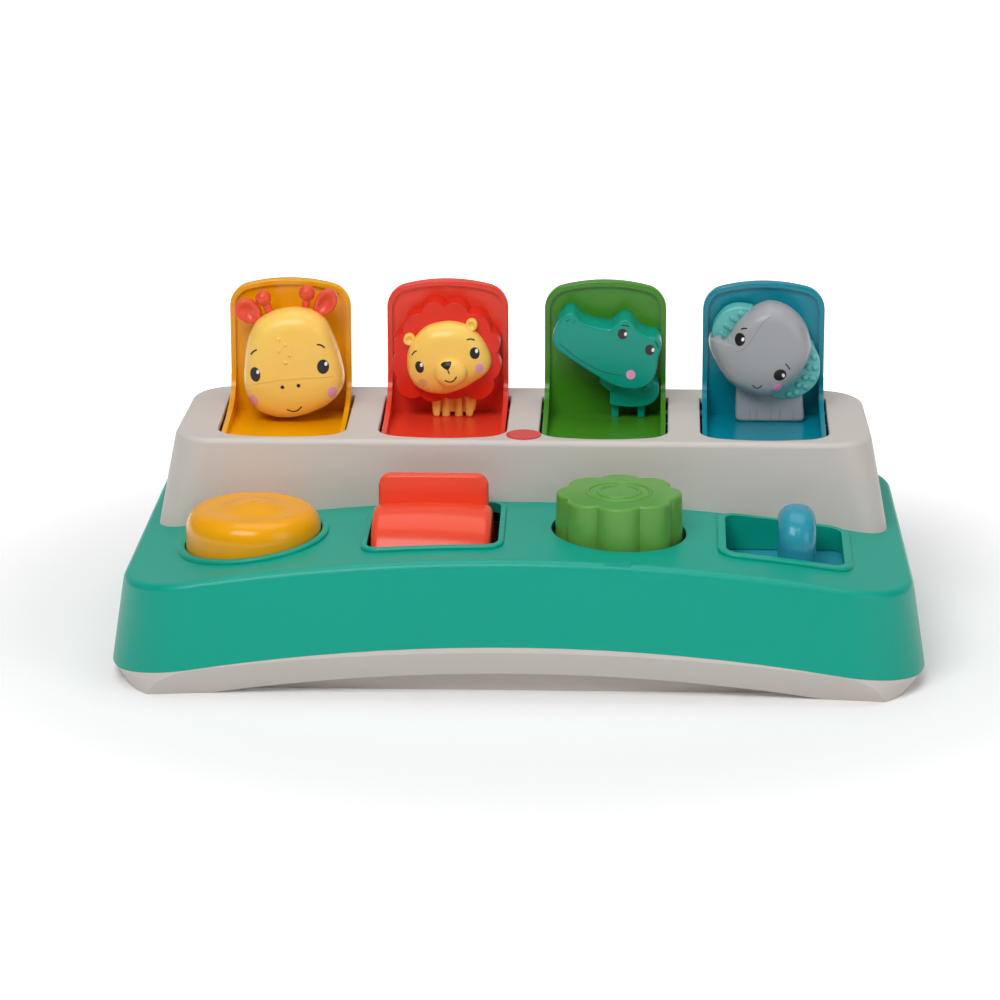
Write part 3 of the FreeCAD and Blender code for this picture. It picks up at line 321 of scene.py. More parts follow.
def giraffe():
    """Crowned head, two ball horns and two dished ears."""
    outline = [(-17.8, 24.5), (-16.8, 31.9), (-15.5, 36.5), (-12.6, 41.7), (-8.8, 44.5), (-3.9, 46.5),
               (2.3, 47.5), (8.0, 47.1), (12.4, 45.1), (16.1, 41.7), (18.9, 35.4), (21.3, 28.2),
               (23.0, 19.4), (21.8, 13.2), (17.0, 7.7), (9.5, 3.8), (1.0, 1.6), (-7.1, 2.2), (-13.4, 5.3),
               (-17.1, 10.6), (-18.2, 17.0)]
    sections = [(BACK_Y, 0.80), (53, 0.92), (46, 1.0), (40, 0.97), (36.5, 0.85), (34.7, 0.62),
                (34.2, 0.3), (34.1, 0)]
    rings = crowned("giraffe", outline, (3, 23), sections)
    shell("giraffe_moulded_head", "giraffe_carrier", rings, yellow_face, "giraffe_head")
    x, y, z = LID_X["giraffe"], 48, FLOOR_Z
    trim = []
    for side, foot, ball in (("left", (-6.9, 43.2), (-10.1, 50.7)), ("right", (6.9, 44.4), (7.9, 52.9))):
        rings = horn((x + foot[0], y, z + foot[1]), (x + ball[0], y, z + ball[1]))
        trim.append(shell(f"giraffe_horn_{side}", "giraffe_carrier", rings, coral_trim))
    left = [(-11.0, 42.0), (-11.2, 45.4), (-12.3, 47.3), (-14.7, 49.4), (-17.3, 50.1), (-19.9, 49.4),
            (-21.6, 47.4), (-22.0, 45.2), (-20.7, 42.6), (-17.9, 40.7), (-15.4, 39.9), (-13.0, 40.2)]
    right = [(10.2, 45.4), (11.1, 49.6), (12.6, 52.2), (15.0, 54.0), (17.1, 54.5), (19.2, 53.5),
             (20.3, 51.4), (20.1, 48.6), (18.7, 46.2), (16.6, 44.2), (14.0, 43.1), (11.4, 43.0)]
    for side, rim, middle in (("left", left, (-16.7, 45.2)), ("right", right, (15.4, 48.9))):
        rings = slab("giraffe", through(rim), 46.5, 50.0, 0.8, dish=1.6, middle=middle)
        trim.append(shell(f"giraffe_ear_{side}", "giraffe_carrier", rings, coral_trim))
    for piece in trim:
        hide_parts("giraffe_horns_and_ears")


def lion():
    """Scalloped mane, crowned head with a round muzzle, two dished ears, chest, two paws and two legs."""
    notches = [(-0.8, 47.7), (9.2, 44.8), (18.1, 37.4), (20.4, 28.3), (19.1, 17.2), (8, 10.5), (-1, 9.4),
               (-10.7, 10), (-20.1, 17.4), (-21.0, 27.5), (-17.7, 36.7), (-10.6, 44.7)]
    lobes = [(4.2, 49.4), (15.2, 43.5), (22.1, 32.3), (22.4, 23.0), (17.6, 10.7), (3.3, 8.7), (-5.6, 7.4),
             (-18.1, 10), (-22.4, 22.6), (-21.8, 32), (-15.6, 42.8), (-5.6, 49.6)]
    rings = slab("lion", scalloped(notches, lobes), 46.6, BACK_Y, 0.25)
    shell("lion_moulded_mane", "lion_carrier", rings, red_mane, "lion_mane")
    face = [(-16.1, 23.6), (-15.6, 29.9), (-12.7, 35.3), (-7.5, 40.1), (0.9, 42.0), (7.9, 40.7),
            (12.5, 37.4), (16.3, 32.1), (18.4, 25.8), (16.7, 21.0), (11.0, 16.6), (4.5, 13.1),
            (-2.6, 11.6), (-8.7, 12.7), (-12.9, 15.4), (-15.2, 19.3)]
    sections = [(48, 1.0), (45, 1.0), (42.6, 0.975), (40.5, 0.89), (38.6, 0.70), (37.6, 0.42),
                (37.3, 0.2), (37.2, 0)]
    rings = crowned("lion", face, (1, 27), sections)
    shell("lion_moulded_head", "lion_carrier", rings, yellow_face, "lion_head")
    muzzle = [(-4.7, 22.3), (-3.6, 26.0), (-0.4, 28.4), (2.2, 28.8), (5.4, 28.0), (8.1, 25.4),
              (9.0, 22.4), (7.6, 18.9), (4.6, 16.8), (2.0, 16.3), (-0.8, 16.9), (-3.6, 19.0)]
    sections = [(42, 1.04), (39, 1.03), (37, 0.98), (35.2, 0.86), (34.1, 0.64), (33.6, 0.36),
                (33.5, 0.15), (33.5, 0)]
    rings = crowned("lion", muzzle, (2.1, 22.5), sections)
    shell("lion_muzzle", "lion_carrier", rings, yellow_face, "lion_head")
    t = around(36)
    ear_r = 2.4
    for side, (a, b) in (("left", (-15.1, 34.5)), ("right", (10.4, 40.9))):
        rim = np.stack([a + ear_r * np.cos(t), b + ear_r * np.sin(t)], axis=-1)
        rings = slab("lion", rim, 43.2, 47.0, 0.45, dish=0.8, middle=(a, b))
        shell("lion_ear_" + side, "lion_carrier", rings, yellow_face, "lion_head")
    chest = flat_points([(-6, 1.2), (11.4, 1.2), (11.9, 13.0), (-6.2, 13.0)], [2, 2, 1, 1])
    rings = slab("lion", chest, 53.0, BACK_Y, 0.8)
    body = [shell("lion_chest", "lion_carrier", rings, yellow_face)]
    paws = {"left": [(-6.9, 10), (-2.7, 10), (-3.1, 0), (-5.9, 0)],
            "right": [(7.0, 10), (11.7, 10), (10.5, 0), (7.6, 0)]}
    for side, rim in paws.items():
        rings = slab("lion", flat_points(rim, [0.3, 0.3, 1.3, 1.3]), 50.4, 55.4, 0.9)
        body.append(shell("lion_paw_" + side, "lion_carrier", rings, yellow_face))
    height = FLOOR_Z + np.array([[0.0], [0.12], [0.5], [10.0]])
    radius = np.array([[1.35], [1.65], [1.75], [1.15]])
    for side, a in (("left", -0.65), ("right", 4.65)):
        x, y = LID_X["lion"] + a, 52.6
        rings = np.stack([x + radius * np.cos(t), y + radius * np.sin(t), height + 0 * t], axis=-1)
        body.append(shell("lion_leg_" + side, "lion_carrier", rings, yellow_face))
    for piece in body:
        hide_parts("lion_body")


def crocodile():
    """Flat long-snouted head with a rounded front edge, round belly, two arms and two legs."""
    outline = [(-20.4, 39.7), (-19.3, 42.3), (-17.7, 44.5), (-15.9, 46.1), (-14.0, 46.7), (-12.4, 46.1),
               (-10.8, 44.2), (-8.9, 42.6), (-5.3, 41.3), (-2.0, 40.5), (1.3, 40.1), (3.0, 40.8),
               (4.9, 42.5), (6.5, 43.6), (8.4, 44.0), (10.2, 43.3), (11.6, 41.7), (13.1, 39.6),
               (15.5, 38.0), (17.6, 37.0), (20.0, 36.8), (21.9, 36.1), (22.9, 34.6), (23.0, 32.4),
               (22.2, 29.6), (21.6, 27.0), (21.2, 23.6), (20.4, 20.6), (18.8, 17.9), (16.5, 16.0),
               (13.7, 15.1), (10.8, 14.9), (7.1, 15.3), (3.4, 16.7), (-0.3, 18.6), (-8.1, 23.4),
               (-16.3, 29.0), (-18.9, 30.9), (-20.3, 32.8), (-21.2, 35.1), (-21.2, 37.6)]
    rings = slab("crocodile", through(outline), 41.5, BACK_Y, 0.8)
    shell("crocodile_moulded_head", "crocodile_carrier", rings, turquoise, "crocodile_head")
    belly = flat_points([(2.1, 20), (2.0, 6.3), (5.4, 5.6), (11.2, 5.2), (16.3, 5.6), (19.4, 6.9),
                         (21.5, 9.1), (22.4, 12.0), (22.1, 14.4), (20.6, 16.2), (18.4, 17.4), (15, 20)],
                        [1, 1.0, 1.6, 2.2, 1.8, 1.5, 1.4, 1.3, 1.0, 1.2, 1, 1])
    left = flat_points([(-2.1, 19), (-2.1, 15.8), (2.1, 12.4), (5, 15), (1, 20)], [0.5, 0.9, 0.8, 0.5, 0.5])
    right = flat_points([(16.9, 11.7), (15.6, 13.4), (19.2, 17.4), (21.2, 15.2)], [0.9, 0.9, 0.5, 0.5])
    body = []
    for part, rim, front, rear in (("belly", belly, 48.8, BACK_Y), ("arm_left", left, 47.0, 53.0),
                                   ("arm_right", right, 47.0, 51.0)):
        rings = slab("crocodile", rim, front, rear, 0.4)
        body.append(shell("crocodile_" + part, "crocodile_carrier", rings, turquoise))
    wide, high = 2.9, 8
    for side, a in (("left", 2.7), ("right", 13.5)):
        rim = flat_points([(a, 0), (a + wide, 0), (a + wide, high), (a, high)], [0.25] * 4)
        rings = slab("crocodile", rim, 51.7, 57.0, 0.25)
        body.append(shell("crocodile_leg_" + side, "crocodile_carrier", rings, turquoise))
    for piece in body:
        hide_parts("crocodile_body")


def elephant():
    """Crowned head with a curled trunk, two flat round ears and a block of a body."""
    outline = [(-22.1, 31.9), (-22.5, 35.0), (-22.1, 36.6), (-21.4, 36.2), (-20.9, 35.1), (-19.6, 35.6),
               (-18.2, 36.4), (-17.0, 35.6), (-16.0, 34.9), (-14.7, 36.0), (-13.2, 38.2), (-10.8, 42.2),
               (-7.2, 45.8), (-3.5, 48.7), (1.5, 50.6), (5.5, 50.2), (9.2, 48.8), (12.5, 46.5),
               (15.4, 43.4), (17.5, 39.6), (18.7, 35.4), (19.0, 31.5), (17.5, 26.3), (13.5, 19.9),
               (8.7, 15.6), (4.0, 13.0), (-0.2, 12.1), (-5.0, 13.1), (-10.9, 15.7), (-14.2, 18.0),
               (-17.1, 21.8), (-20.0, 26.9)]
    sections = [(BACK_Y, 0.86), (54, 0.95), (50, 1.0), (44, 1.0), (40, 0.93), (37.6, 0.80), (36.5, 0.58),
                (36.1, 0.3), (36.0, 0)]
    rings = crowned("elephant", outline, (-1, 31), sections)
    shell("elephant_moulded_head", "elephant_carrier", rings, elephant_grey, "elephant_head")
    left = [(-20.5, 31.8), (-21.1, 34.7), (-21.1, 37.7), (-20.4, 40.3), (-18.4, 43.7), (-16, 46.2),
            (-12.7, 47.7), (-9.5, 48), (-6.6, 47.6), (-4.3, 46.6), (-5, 41), (-10, 34), (-15, 31)]
    right = [(18.6, 33.7), (21.5, 29.2), (22.8, 26.0), (23.0, 22.6), (22.5, 19.4), (21.1, 16.3),
             (18.7, 13.7), (15.5, 11.5), (12.2, 10.4), (9, 10.1), (5.7, 10.5), (3.0, 11.6), (4, 18),
             (10, 28)]
    thick = 8
    for side, rim, front in (("left", left, 49.0), ("right", right, 45.3)):
        rings = slab("elephant", through(rim), front, front + thick, 1.0)
        shell("elephant_ear_" + side, "elephant_carrier", rings, aqua, "elephant_ears")
    block = flat_points([(-11.4, 0), (17.2, 0), (15.4, 18), (-11.0, 18)], [2.6, 2.6, 3, 3])
    rings = slab("elephant", block, 46.2, BACK_Y, 1.6)
    shell("elephant_block_body", "elephant_carrier", rings, elephant_grey, "elephant_body")


giraffe()
lion()
crocodile()
elephant()


# ------------------------------------------------------------------ prints and small relief on the animals
LIFT = 0.05                        # mm that ink stands above the skin
GLINT_LIFT = 0.09                  # a glint lies on the eye's own ink
GLINT = (0.62, 0.85)               # half its width and height, in mm
GLINT_LEAN = -12                   # degrees from the eye's own tilt
SUNK = 0.12                        # mm that a print's back lies below the skin
MARGIN = 0.2                       # mm around a print within which triangles are tried
EDGE = 1e-3                        # share of a triangle by which a point may lie outside it
EDGE_ON = 1e-9                     # mm2 below which a triangle is seen edge on
SPOT_ROWS, SPOT_POINTS = 9, 40     # rings of an oval, and points on each ring
LINE_ROWS, LINE_POINTS = 7, 61     # rows from a line's middle to its rim, and points along it
SKINS = {}                         # front triangles of each node, kept once they are worked out
CARRIES = {"giraffe_head": ["giraffe_moulded_head"], "lion_head": ["lion_moulded_head", "lion_muzzle"],
           "crocodile_head": ["crocodile_moulded_head"], "elephant_head": ["elephant_moulded_head"],
           "elephant_ears": ["elephant_ear_left", "elephant_ear_right"],
           "elephant_body": ["elephant_block_body"]}


def front_triangles(mesh):
    """Corners a, b and c, in mm, of a mesh's triangles that face -Y, as one array of (triangle, corner,
    axis). They are those whose (b - a) x (c - a) on the XZ plane is above zero."""
    mesh.calc_loop_triangles()
    spots = np.empty(len(mesh.vertices) * 3)
    mesh.vertices.foreach_get("co", spots)
    corners = np.empty(len(mesh.loop_triangles) * 3, dtype=np.int64)
    mesh.loop_triangles.foreach_get("vertices", corners)
    tri = spots.reshape(-1, 3)[corners.reshape(-1, 3)] / MM
    turn = (tri[:, 1, 0] - tri[:, 0, 0]) * (tri[:, 2, 2] - tri[:, 0, 2])
    turn -= (tri[:, 1, 2] - tri[:, 0, 2]) * (tri[:, 2, 0] - tri[:, 0, 0])
    return tri[turn > EDGE_ON]


def depth_at(node, x, z):
    """Depth y of a node's front skin at points (x, z), in mm: a_y + w1 (b_y - a_y) + w2 (c_y - a_y) on
    the nearest triangle that covers the point. There, w1 and w2 solve (x, z) = a + w1 (b - a) + w2 (c - a).
    A point that no triangle covers takes the deepest value found."""
    if node not in SKINS:
        meshes = [bpy.data.objects[name].data for name in CARRIES[node]]
        SKINS[node] = np.concatenate([front_triangles(mesh) for mesh in meshes])
    tri = SKINS[node]
    low, high = tri.min(axis=1), tri.max(axis=1)
    near = (low[:, 0] < x.max() + MARGIN) & (high[:, 0] > x.min() - MARGIN)
    near &= (low[:, 2] < z.max() + MARGIN) & (high[:, 2] > z.min() - MARGIN)
    a, b, c = tri[near, 0], tri[near, 1], tri[near, 2]
    px, pz = x.reshape(-1, 1) - a[:, 0], z.reshape(-1, 1) - a[:, 2]
    bx, bz, cx, cz = b[:, 0] - a[:, 0], b[:, 2] - a[:, 2], c[:, 0] - a[:, 0], c[:, 2] - a[:, 2]
    area = bx * cz - bz * cx
    w1, w2 = (px * cz - pz * cx) / area, (bx * pz - bz * px) / area
    covers = (w1 > -EDGE) & (w2 > -EDGE) & (w1 + w2 < 1 + EDGE)
    depth = a[:, 1] + w1 * (b[:, 1] - a[:, 1]) + w2 * (c[:, 1] - a[:, 1])
    depth = np.where(covers, depth, np.inf).min(axis=1)
    depth[np.isinf(depth)] = depth[np.isfinite(depth)].max()
    return depth.reshape(x.shape)


def on_skin(name, body, node, flat, lift, mat):
    """A closed thin piece on a node's front. flat holds (x, z) on a grid of rows by columns, and closes
    across its columns. The front sheet stands lift above the skin, and the back sheet SUNK below it."""
    y = depth_at(node, flat[..., 0], flat[..., 1])
    front = np.stack([flat[..., 0], y - lift, flat[..., 1]], axis=-1)
    back = np.stack([flat[..., 0], y + SUNK, flat[..., 1]], axis=-1)[::-1]
    shell(name, body, np.concatenate([front, back]), mat)


def spot(name, animal, node, mat, centre, half, tilt=0.0, dome=0.0, lift=LIFT):
    """An oval print, or a dome. Point (r, a) lies at centre + r (half_x cos a, half_z sin a) turned by
    tilt, for r from 0 to 1, and stands lift + dome sqrt(1 - r^2) above the skin."""
    rows = np.sin(np.linspace(0, math.pi / 2, SPOT_ROWS))
    r, a = np.meshgrid(rows, around(SPOT_POINTS), indexing="ij")
    u, v = half[0] * r * np.cos(a), half[1] * r * np.sin(a)
    t = math.radians(tilt)
    x = LID_X[animal] + centre[0] + u * math.cos(t) - v * math.sin(t)
    z = FLOOR_Z + centre[1] + u * math.sin(t) + v * math.cos(t)
    rise = lift + dome * np.sqrt(np.clip(1 - r ** 2, 0, 1))
    on_skin(name, animal + "_carrier", node, np.stack([x, z], -1), rise, mat)


def along(points, count):
    """count points on the smooth curve through three to six points: each axis is a polynomial in the
    distance along the straight runs, of degree two, or three from four points on."""
    points = np.array(points, dtype=float)
    run = np.concatenate([[0], np.cumsum(np.hypot(*np.diff(points, axis=0).T))])
    run /= run[-1]
    degree = min(3, len(points) - 1)
    t = np.linspace(0, 1, count)
    return np.stack([np.polyval(np.polyfit(run, points[:, k], degree), t) for k in (0, 1)], axis=-1)


def stroke(name, animal, node, mat, points, width, dome=0.0, lift=LIFT):
    """A line print, or a rounded rib, along a curve. Its points are curve(q) + r e w n, where n is the
    curve's normal, w half the width, which narrows in a half circle at both ends, e is 1 on one side and
    -1 on the other, and r runs from 0 to 1."""
    line = along(points, LINE_POINTS)
    step = np.gradient(line, axis=0)
    step /= np.hypot(step[:, 0], step[:, 1])[:, None]
    normal = np.stack([-step[:, 1], step[:, 0]], axis=-1)
    run = np.concatenate([[0], np.cumsum(np.hypot(*np.diff(line, axis=0).T))])
    tip = np.clip(np.minimum(run, run[-1] - run) / (width / 2), 0, 1)
    half = width / 2 * np.sqrt(np.clip(1 - (1 - tip) ** 2, 0, 1))
    rim = np.concatenate([line + normal * half[:, None], (line - normal * half[:, None])[-2:0:-1]])
    mid = np.concatenate([line, line[-2:0:-1]])
    r = np.sin(np.linspace(0, math.pi / 2, LINE_ROWS))[:, None, None]
    flat = mid[None] + r * (rim - mid)[None]
    side = np.concatenate([half, half[-2:0:-1]]) / (width / 2)
    rise = lift + dome * side * np.sqrt(np.clip(1 - r[..., 0] ** 2, 0, 1))
    flat = flat[:, ::-1] + np.array([LID_X[animal], FLOOR_Z])
    on_skin(name, animal + "_carrier", node, flat, rise[:, ::-1], mat)


def eye(animal, side, mat, centre, half, tilt, glint):
    """A printed eye with its white glint, which lies over the dark oval."""
    node = animal + "_head"
    spot(f"{animal}_eye_{side}", animal, node, mat, centre, half, tilt)
    lean = tilt + GLINT_LEAN
    spot(f"{animal}_glint_{side}", animal, node, white_ink, glint, GLINT, lean, lift=GLINT_LIFT)


def brow(animal, side, mat, points, width=0.5):
    """A printed brow."""
    stroke(f"{animal}_brow_{side}", animal, animal + "_head", mat, points, width)


def giraffe_face():
    """Eyes, brows, nostrils, smile and cheeks in ink, the muzzle's seam as a line of painted shade, and
    five pips.
    """
    head = "giraffe_head"
    eye("giraffe", "left", black_ink, (-12.79, 21.63), (2.15, 3.05), 4, (-11.70, 22.76))
    eye("giraffe", "right", black_ink, (15.11, 25.28), (2.42, 3.00), 2, (16.30, 26.45))
    brow("giraffe", "left", line_ink, [(-14.7, 29.5), (-13.5, 31.0), (-11.9, 32.0)], 0.62)
    brow("giraffe", "right", line_ink, [(12.6, 34.5), (14.2, 34.25), (15.8, 32.9)], 0.62)
    for side, place in (("left", (-1.64, 16.64)), ("right", (4.98, 17.35))):
        spot("giraffe_nostril_" + side, "giraffe", head, line_ink, place, (0.78, 0.80))
    spot("giraffe_cheek_left", "giraffe", head, pink_ink, (-13.9, 10.1), (1.9, 2.5), 10)
    spot("giraffe_cheek_right", "giraffe", head, pink_ink, (18.55, 13.9), (1.85, 2.75), -8)
    stroke("giraffe_smile", "giraffe", head, line_ink, [(-0.1, 7.0), (2.7, 5.9), (6.1, 8.3)], 0.55)
    seam = [(-17.6, 15.7), (-9.1, 18.5), (-1.4, 19.4), (9.6, 20.6), (19.6, 20.9)]
    # painted shade: a darker yellow line along the muzzle's seam, in place of its shaded step
    stroke("giraffe_muzzle_seam_shade", "giraffe", head, groove_shade_yellow, seam, 0.42)
    for k, place in enumerate([(-2.9, 36.6), (-0.2, 34.5), (-2.9, 31.7), (1.5, 30.1), (-0.1, 26.9)]):
        spot(f"giraffe_pip_{k + 1}", "giraffe", head, yellow_face, place, (0.75, 0.75), dome=0.45)


def lion_nose(outline, count=48, harmonics=6):
    """The printed nose: (x, z) = m + r (rim(a) - m) for r from 0 to 1, where m is the rim's mean, and the
    rim is the sum of the first harmonics of the outline's points, worked out at count places."""
    rim = np.array(outline, dtype=float)
    wave = np.fft.rfft(rim, axis=0)
    wave[harmonics:] = 0
    full = np.zeros((count // 2 + 1, 2), dtype=complex)
    full[:len(wave)] = wave * count / len(rim)
    rim = np.fft.irfft(full, n=count, axis=0)[::-1]
    mid = rim.mean(axis=0)
    r = np.linspace(0, 1, SPOT_ROWS)[:, None, None]
    flat = mid + r * (rim - mid) + np.array([LID_X["lion"], FLOOR_Z])
    on_skin("lion_nose", "lion_carrier", "lion_head", flat, LIFT, black_ink)


def lion_face():
    """Eyes, brows, nose, smile and cheeks in ink."""
    head = "lion_head"
    eye("lion", "left", black_ink, (-10.66, 24.42), (1.80, 2.50), 10, (-9.90, 25.45))
    eye("lion", "right", black_ink, (11.95, 30.43), (1.98, 2.42), 12, (12.70, 31.30))
    brow("lion", "left", line_ink, [(-13.9, 28.8), (-13.1, 30.1), (-11.8, 31.1)])
    brow("lion", "right", line_ink, [(8.6, 35.85), (10.2, 36.1), (11.9, 35.4)])
    spot("lion_cheek_left", "lion", head, faded_ink, (-9.41, 17.58), (1.85, 1.95))
    spot("lion_cheek_right", "lion", head, pink_ink, (13.74, 24.03), (1.65, 2.05))
    lion_nose([(-1.75, 26.45), (-0.9, 27.35), (0.7, 27.75), (2.15, 27.9), (2.6, 27.45), (2.25, 26.1),
               (1.5, 24.95), (0.85, 24.7), (-0.2, 25.1), (-1.2, 25.75)])
    stroke("lion_nose_line", "lion", head, line_ink, [(1.15, 24.9), (1.4, 24.0), (1.85, 22.9)], 0.5)
    stroke("lion_smile", "lion", head, line_ink, [(-0.1, 20.3), (2.2, 19.5), (4.75, 21.9)], 0.55)


def crocodile_face():
    """Eyes, brows, long mouth line, cheek and nostril holes in ink, and two small nostril pips."""
    head = "crocodile_head"
    eye("crocodile", "left", brown_ink, (7.26, 38.27), (2.08, 2.20), 0, (8.45, 38.25))
    eye("crocodile", "right", brown_ink, (18.44, 31.61), (2.02, 2.25), 0, (19.65, 31.65))
    brow("crocodile", "left", black_ink, [(6.75, 41.8), (8.2, 41.95), (9.85, 41.3)])
    brow("crocodile", "right", black_ink, [(20.3, 35.4), (21.25, 34.1), (21.85, 32.5)])
    smile = [(-18.8, 34.3), (-10.1, 27.2), (-1.9, 22.8), (3.0, 21.3), (7.4, 20.9)]
    stroke("crocodile_mouth", "crocodile", head, mouth_green, smile, 0.36)
    spot("crocodile_cheek", "crocodile", head, rose_ink, (10.64, 21.10), (1.88, 1.95))
    for k, place in enumerate([(-15.26, 43.90), (-12.81, 43.29)]):
        spot(f"crocodile_nostril_{k + 1}", "crocodile", head, turquoise, place, (0.5, 0.5), dome=0.35)
        hole = (place[0] + 0.75, place[1] + 0.35)
        spot(f"crocodile_nostril_hole_{k + 1}", "crocodile", head, mouth_green, hole, (0.28, 0.28))


def elephant_face():
    """Eyes, brows, smile and cheek in ink, seam and toe grooves as lines of painted shade, and raised ear
    ribs and pips.
    """
    head, ears = "elephant_head", "elephant_ears"
    eye("elephant", "left", black_ink, (-10.02, 37.35), (2.05, 2.60), -14, (-8.85, 37.6))
    eye("elephant", "right", black_ink, (6.43, 22.78), (2.65, 2.40), 30, (7.80, 22.6))
    brow("elephant", "left", black_ink, [(-9.65, 41.2), (-8.5, 41.8), (-7.15, 41.85)])
    brow("elephant", "right", black_ink, [(8.5, 27.6), (9.6, 26.4), (10.4, 25.0)])
    stroke("elephant_smile", "elephant", head, black_ink, [(-4.75, 18.4), (-2.8, 17.0), (-0.8, 18.4)], 0.5)
    spot("elephant_cheek", "elephant", head, rose_ink, (5.55, 17.21), (1.80, 1.75), 20)
    seam = [(2.4, 47.0), (-0.4, 44.9), (-3.2, 41.3), (-5.6, 37.1), (-8.8, 33.5), (-12.0, 32.4)]
    # painted shade: a darker grey line along the brow's seam
    stroke("elephant_brow_seam_shade", "elephant", head, groove_shade_grey, seam, 0.4)
    for k, (a, b) in enumerate([((-10.8, 45.9), (-7.6, 44.2)), ((-14.2, 44.0), (-9.9, 41.8)),
                                ((-16.7, 41.0), (-12.4, 38.4)), ((-18.5, 37.5), (-14.8, 35.0))]):
        middle = ((a[0] + b[0]) / 2, (a[1] + b[1]) / 2)
        stroke(f"elephant_ear_rib_{k + 1}", "elephant", ears, aqua, [a, middle, b], 2.6, dome=1.0, lift=0.0)
    # painted shade: darker grey lines in place of the toe grooves, which the block body does not have
    for k, a in enumerate((-5.4, -2.6, 3.2, 6.9, 12.3)):
        line = [(a, 0.9), (a, 3), (a, 5.3)]
        stroke(f"elephant_toe_groove_shade_{k + 1}", "elephant", "elephant_body", groove_shade_grey, line, 0.55)
    pips = [(20.5, 28.1), (21.0, 23.7), (18.3, 23.7), (20.0, 19.2), (17.0, 19.4), (17.25, 15.6),
            (14.2, 16.2), (13.4, 13.0), (10.35, 12.4)]
    for k, place in enumerate(pips):
        spot(f"elephant_ear_pip_{k + 1}", "elephant", ears, aqua, place, (1.4, 1.4), dome=1.1, lift=0.0)


giraffe_face()
lion_face()
crocodile_face()
elephant_face()


# ------------------------------------------------------------------ stage, in metres
SWEEP = 6.0                         # half the paper's width, and how far it comes forward
FLAT_TO = 2.7                       # the last flat row
BEND_Y, BEND_R = 3.0, 2.0           # where the paper starts to rise, and the radius of the bend
WALL_TOP = 8.0
GLOW_NEAR, GLOW_FAR = (0.15, 0.06), (0.50, 0.9)     # distance from the toy's middle, and the glow there
WALL_FOOT, WALL_HIGH = (0.02, 1.0), (0.6, 0.3)      # height, and the share of the glow that is left there
WORLD_LEVEL = 0.14
LAMPS = {                           # place, aim, width and height, and watts
    "key softbox": ((-0.45, -1.2, 1.5), (0, 0, 0.05), (1.1, 0.8), 21),
    "overhead softbox": ((0.1, 0.25, 1.8), (0, 0, 0), (1.6, 1.2), 12),
    "fill softbox": ((1.3, -1.0, 0.7), (0, 0, 0.05), (0.9, 0.9), 5),
}


def backdrop():
    """Seamless white sweep: a floor that curves up into a wall far behind the toy. On the curve
    y = BEND_Y + BEND_R sin t and z = BEND_R (1 - cos t)."""
    arc = np.linspace(0, math.pi / 2, 17)
    floor = np.linspace(-SWEEP, FLAT_TO, 10)
    run = np.concatenate([floor, BEND_Y + BEND_R * np.sin(arc), [BEND_Y + BEND_R]])
    rise = np.concatenate([0 * floor, BEND_R - BEND_R * np.cos(arc), [WALL_TOP]])
    x, y = np.meshgrid(np.linspace(-SWEEP, SWEEP, 3), run)
    spots = np.stack([x, y, np.broadcast_to(rise[:, None], x.shape)], axis=-1)
    at = np.arange(x.size).reshape(x.shape)
    quads = np.stack([at[:-1, :-1], at[:-1, 1:], at[1:, 1:], at[1:, :-1]], axis=-1).reshape(-1, 4)
    mesh = bpy.data.meshes.new("backdrop")
    mesh.from_pydata(spots.reshape(-1, 3), [], quads.tolist())
    sweep = bpy.data.objects.new("backdrop", mesh)
    bpy.context.collection.objects.link(sweep)
    mesh.materials.append(white_paper())


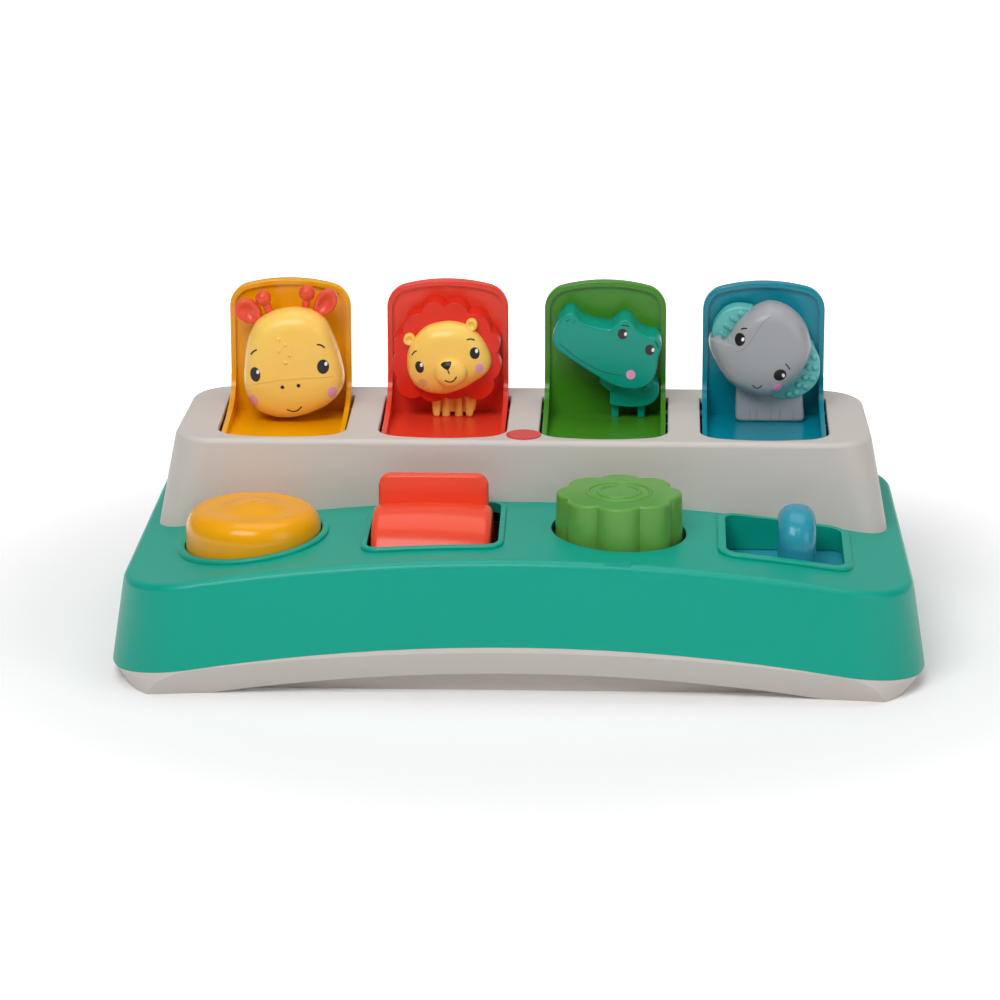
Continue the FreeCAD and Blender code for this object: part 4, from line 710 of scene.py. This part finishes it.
def white_paper():
    """Matt white paper. Towards the eye, and in reflections, it turns plain white away from the toy: its
    glow grows with the distance from the toy's middle and falls off up the wall."""
    mat = bpy.data.materials.new("white paper backdrop")
    mat.use_nodes = True
    tree = mat.node_tree
    shader = tree.nodes["Principled BSDF"]
    shader.inputs["Base Color"].default_value = srgb("#F7F7F7")
    shader.inputs["Roughness"].default_value = 0.9
    shader.inputs["Specular IOR Level"].default_value = 0.1
    shader.inputs["Emission Color"].default_value = (1, 1, 1, 1)
    place = add(tree, "ShaderNodeTexCoord").outputs["Object"]
    far = add(tree, "ShaderNodeVectorMath", {"operation": "LENGTH"}, place)
    glow = add(tree, "ShaderNodeMapRange", {"From Min": GLOW_NEAR[0], "From Max": GLOW_FAR[0],
                                           "To Min": GLOW_NEAR[1], "To Max": GLOW_FAR[1],
                                           "interpolation_type": "SMOOTHSTEP"}, Value=far.outputs["Value"])
    height = add(tree, "ShaderNodeSeparateXYZ", Vector=place)
    wall = add(tree, "ShaderNodeMapRange", {"From Min": WALL_FOOT[0], "From Max": WALL_HIGH[0],
                                           "To Min": WALL_FOOT[1], "To Max": WALL_HIGH[1]},
               Value=height.outputs["Z"])
    whole = add(tree, "ShaderNodeMath", {"operation": "MULTIPLY"}, glow.outputs["Result"],
                wall.outputs["Result"])
    path = add(tree, "ShaderNodeLightPath").outputs
    seen = add(tree, "ShaderNodeMath", {"operation": "ADD"}, path["Is Camera Ray"], path["Is Glossy Ray"])
    seen = add(tree, "ShaderNodeMath", {"operation": "ADD", "use_clamp": True}, seen.outputs[0],
               path["Is Transmission Ray"])
    level = add(tree, "ShaderNodeMath", {"operation": "MULTIPLY"}, seen.outputs[0], whole.outputs[0])
    tree.links.new(level.outputs[0], shader.inputs["Emission Strength"])
    return mat


def lamp(name, place, aim, size, power):
    """A rectangular softbox that faces its aim."""
    light = bpy.data.lights.new(name, "AREA")
    light.shape = "RECTANGLE"
    light.size, light.size_y = size
    light.energy = power
    holder = bpy.data.objects.new(name, light)
    holder.location = place
    holder.rotation_euler = (Vector(aim) - Vector(place)).to_track_quat("-Z", "Y").to_euler()
    bpy.context.collection.objects.link(holder)


backdrop()
for name, (place, aim, size, power) in LAMPS.items():
    lamp(name, place, aim, size, power)
world = bpy.data.worlds.new("studio")
world.use_nodes = True
world.node_tree.nodes["Background"].inputs["Color"].default_value = (1, 1, 1, 1)
world.node_tree.nodes["Background"].inputs["Strength"].default_value = WORLD_LEVEL
bpy.context.scene.world = world
bpy.context.scene.view_settings.view_transform = "Standard"


# ------------------------------------------------------------------ camera
AZIMUTH, ELEVATION, ROLL = math.radians(2.307), math.radians(16.993), math.radians(-0.159)
LENS, SENSOR = 149.3, 36            # mm
DISTANCE = 1.6704                   # metres from the target
TARGET = Vector((-0.00883, 0.0, 0.05601))
back = Vector((math.sin(AZIMUTH) * math.cos(ELEVATION), -math.cos(AZIMUTH) * math.cos(ELEVATION),
               math.sin(ELEVATION)))
right = Vector((math.cos(AZIMUTH), math.sin(AZIMUTH), 0))
up = back.cross(right)
side = right * math.cos(ROLL) + up * math.sin(ROLL)
top = up * math.cos(ROLL) - right * math.sin(ROLL)
camera_data = bpy.data.cameras.new("camera")
camera_data.lens = LENS
camera_data.sensor_width = SENSOR
camera_data.sensor_fit = "HORIZONTAL"
camera = bpy.data.objects.new("camera", camera_data)
turn = Matrix((side, top, back)).transposed().to_4x4()
camera.matrix_world = Matrix.Translation(TARGET + back * DISTANCE) @ turn
bpy.context.collection.objects.link(camera)
bpy.context.scene.camera = camera
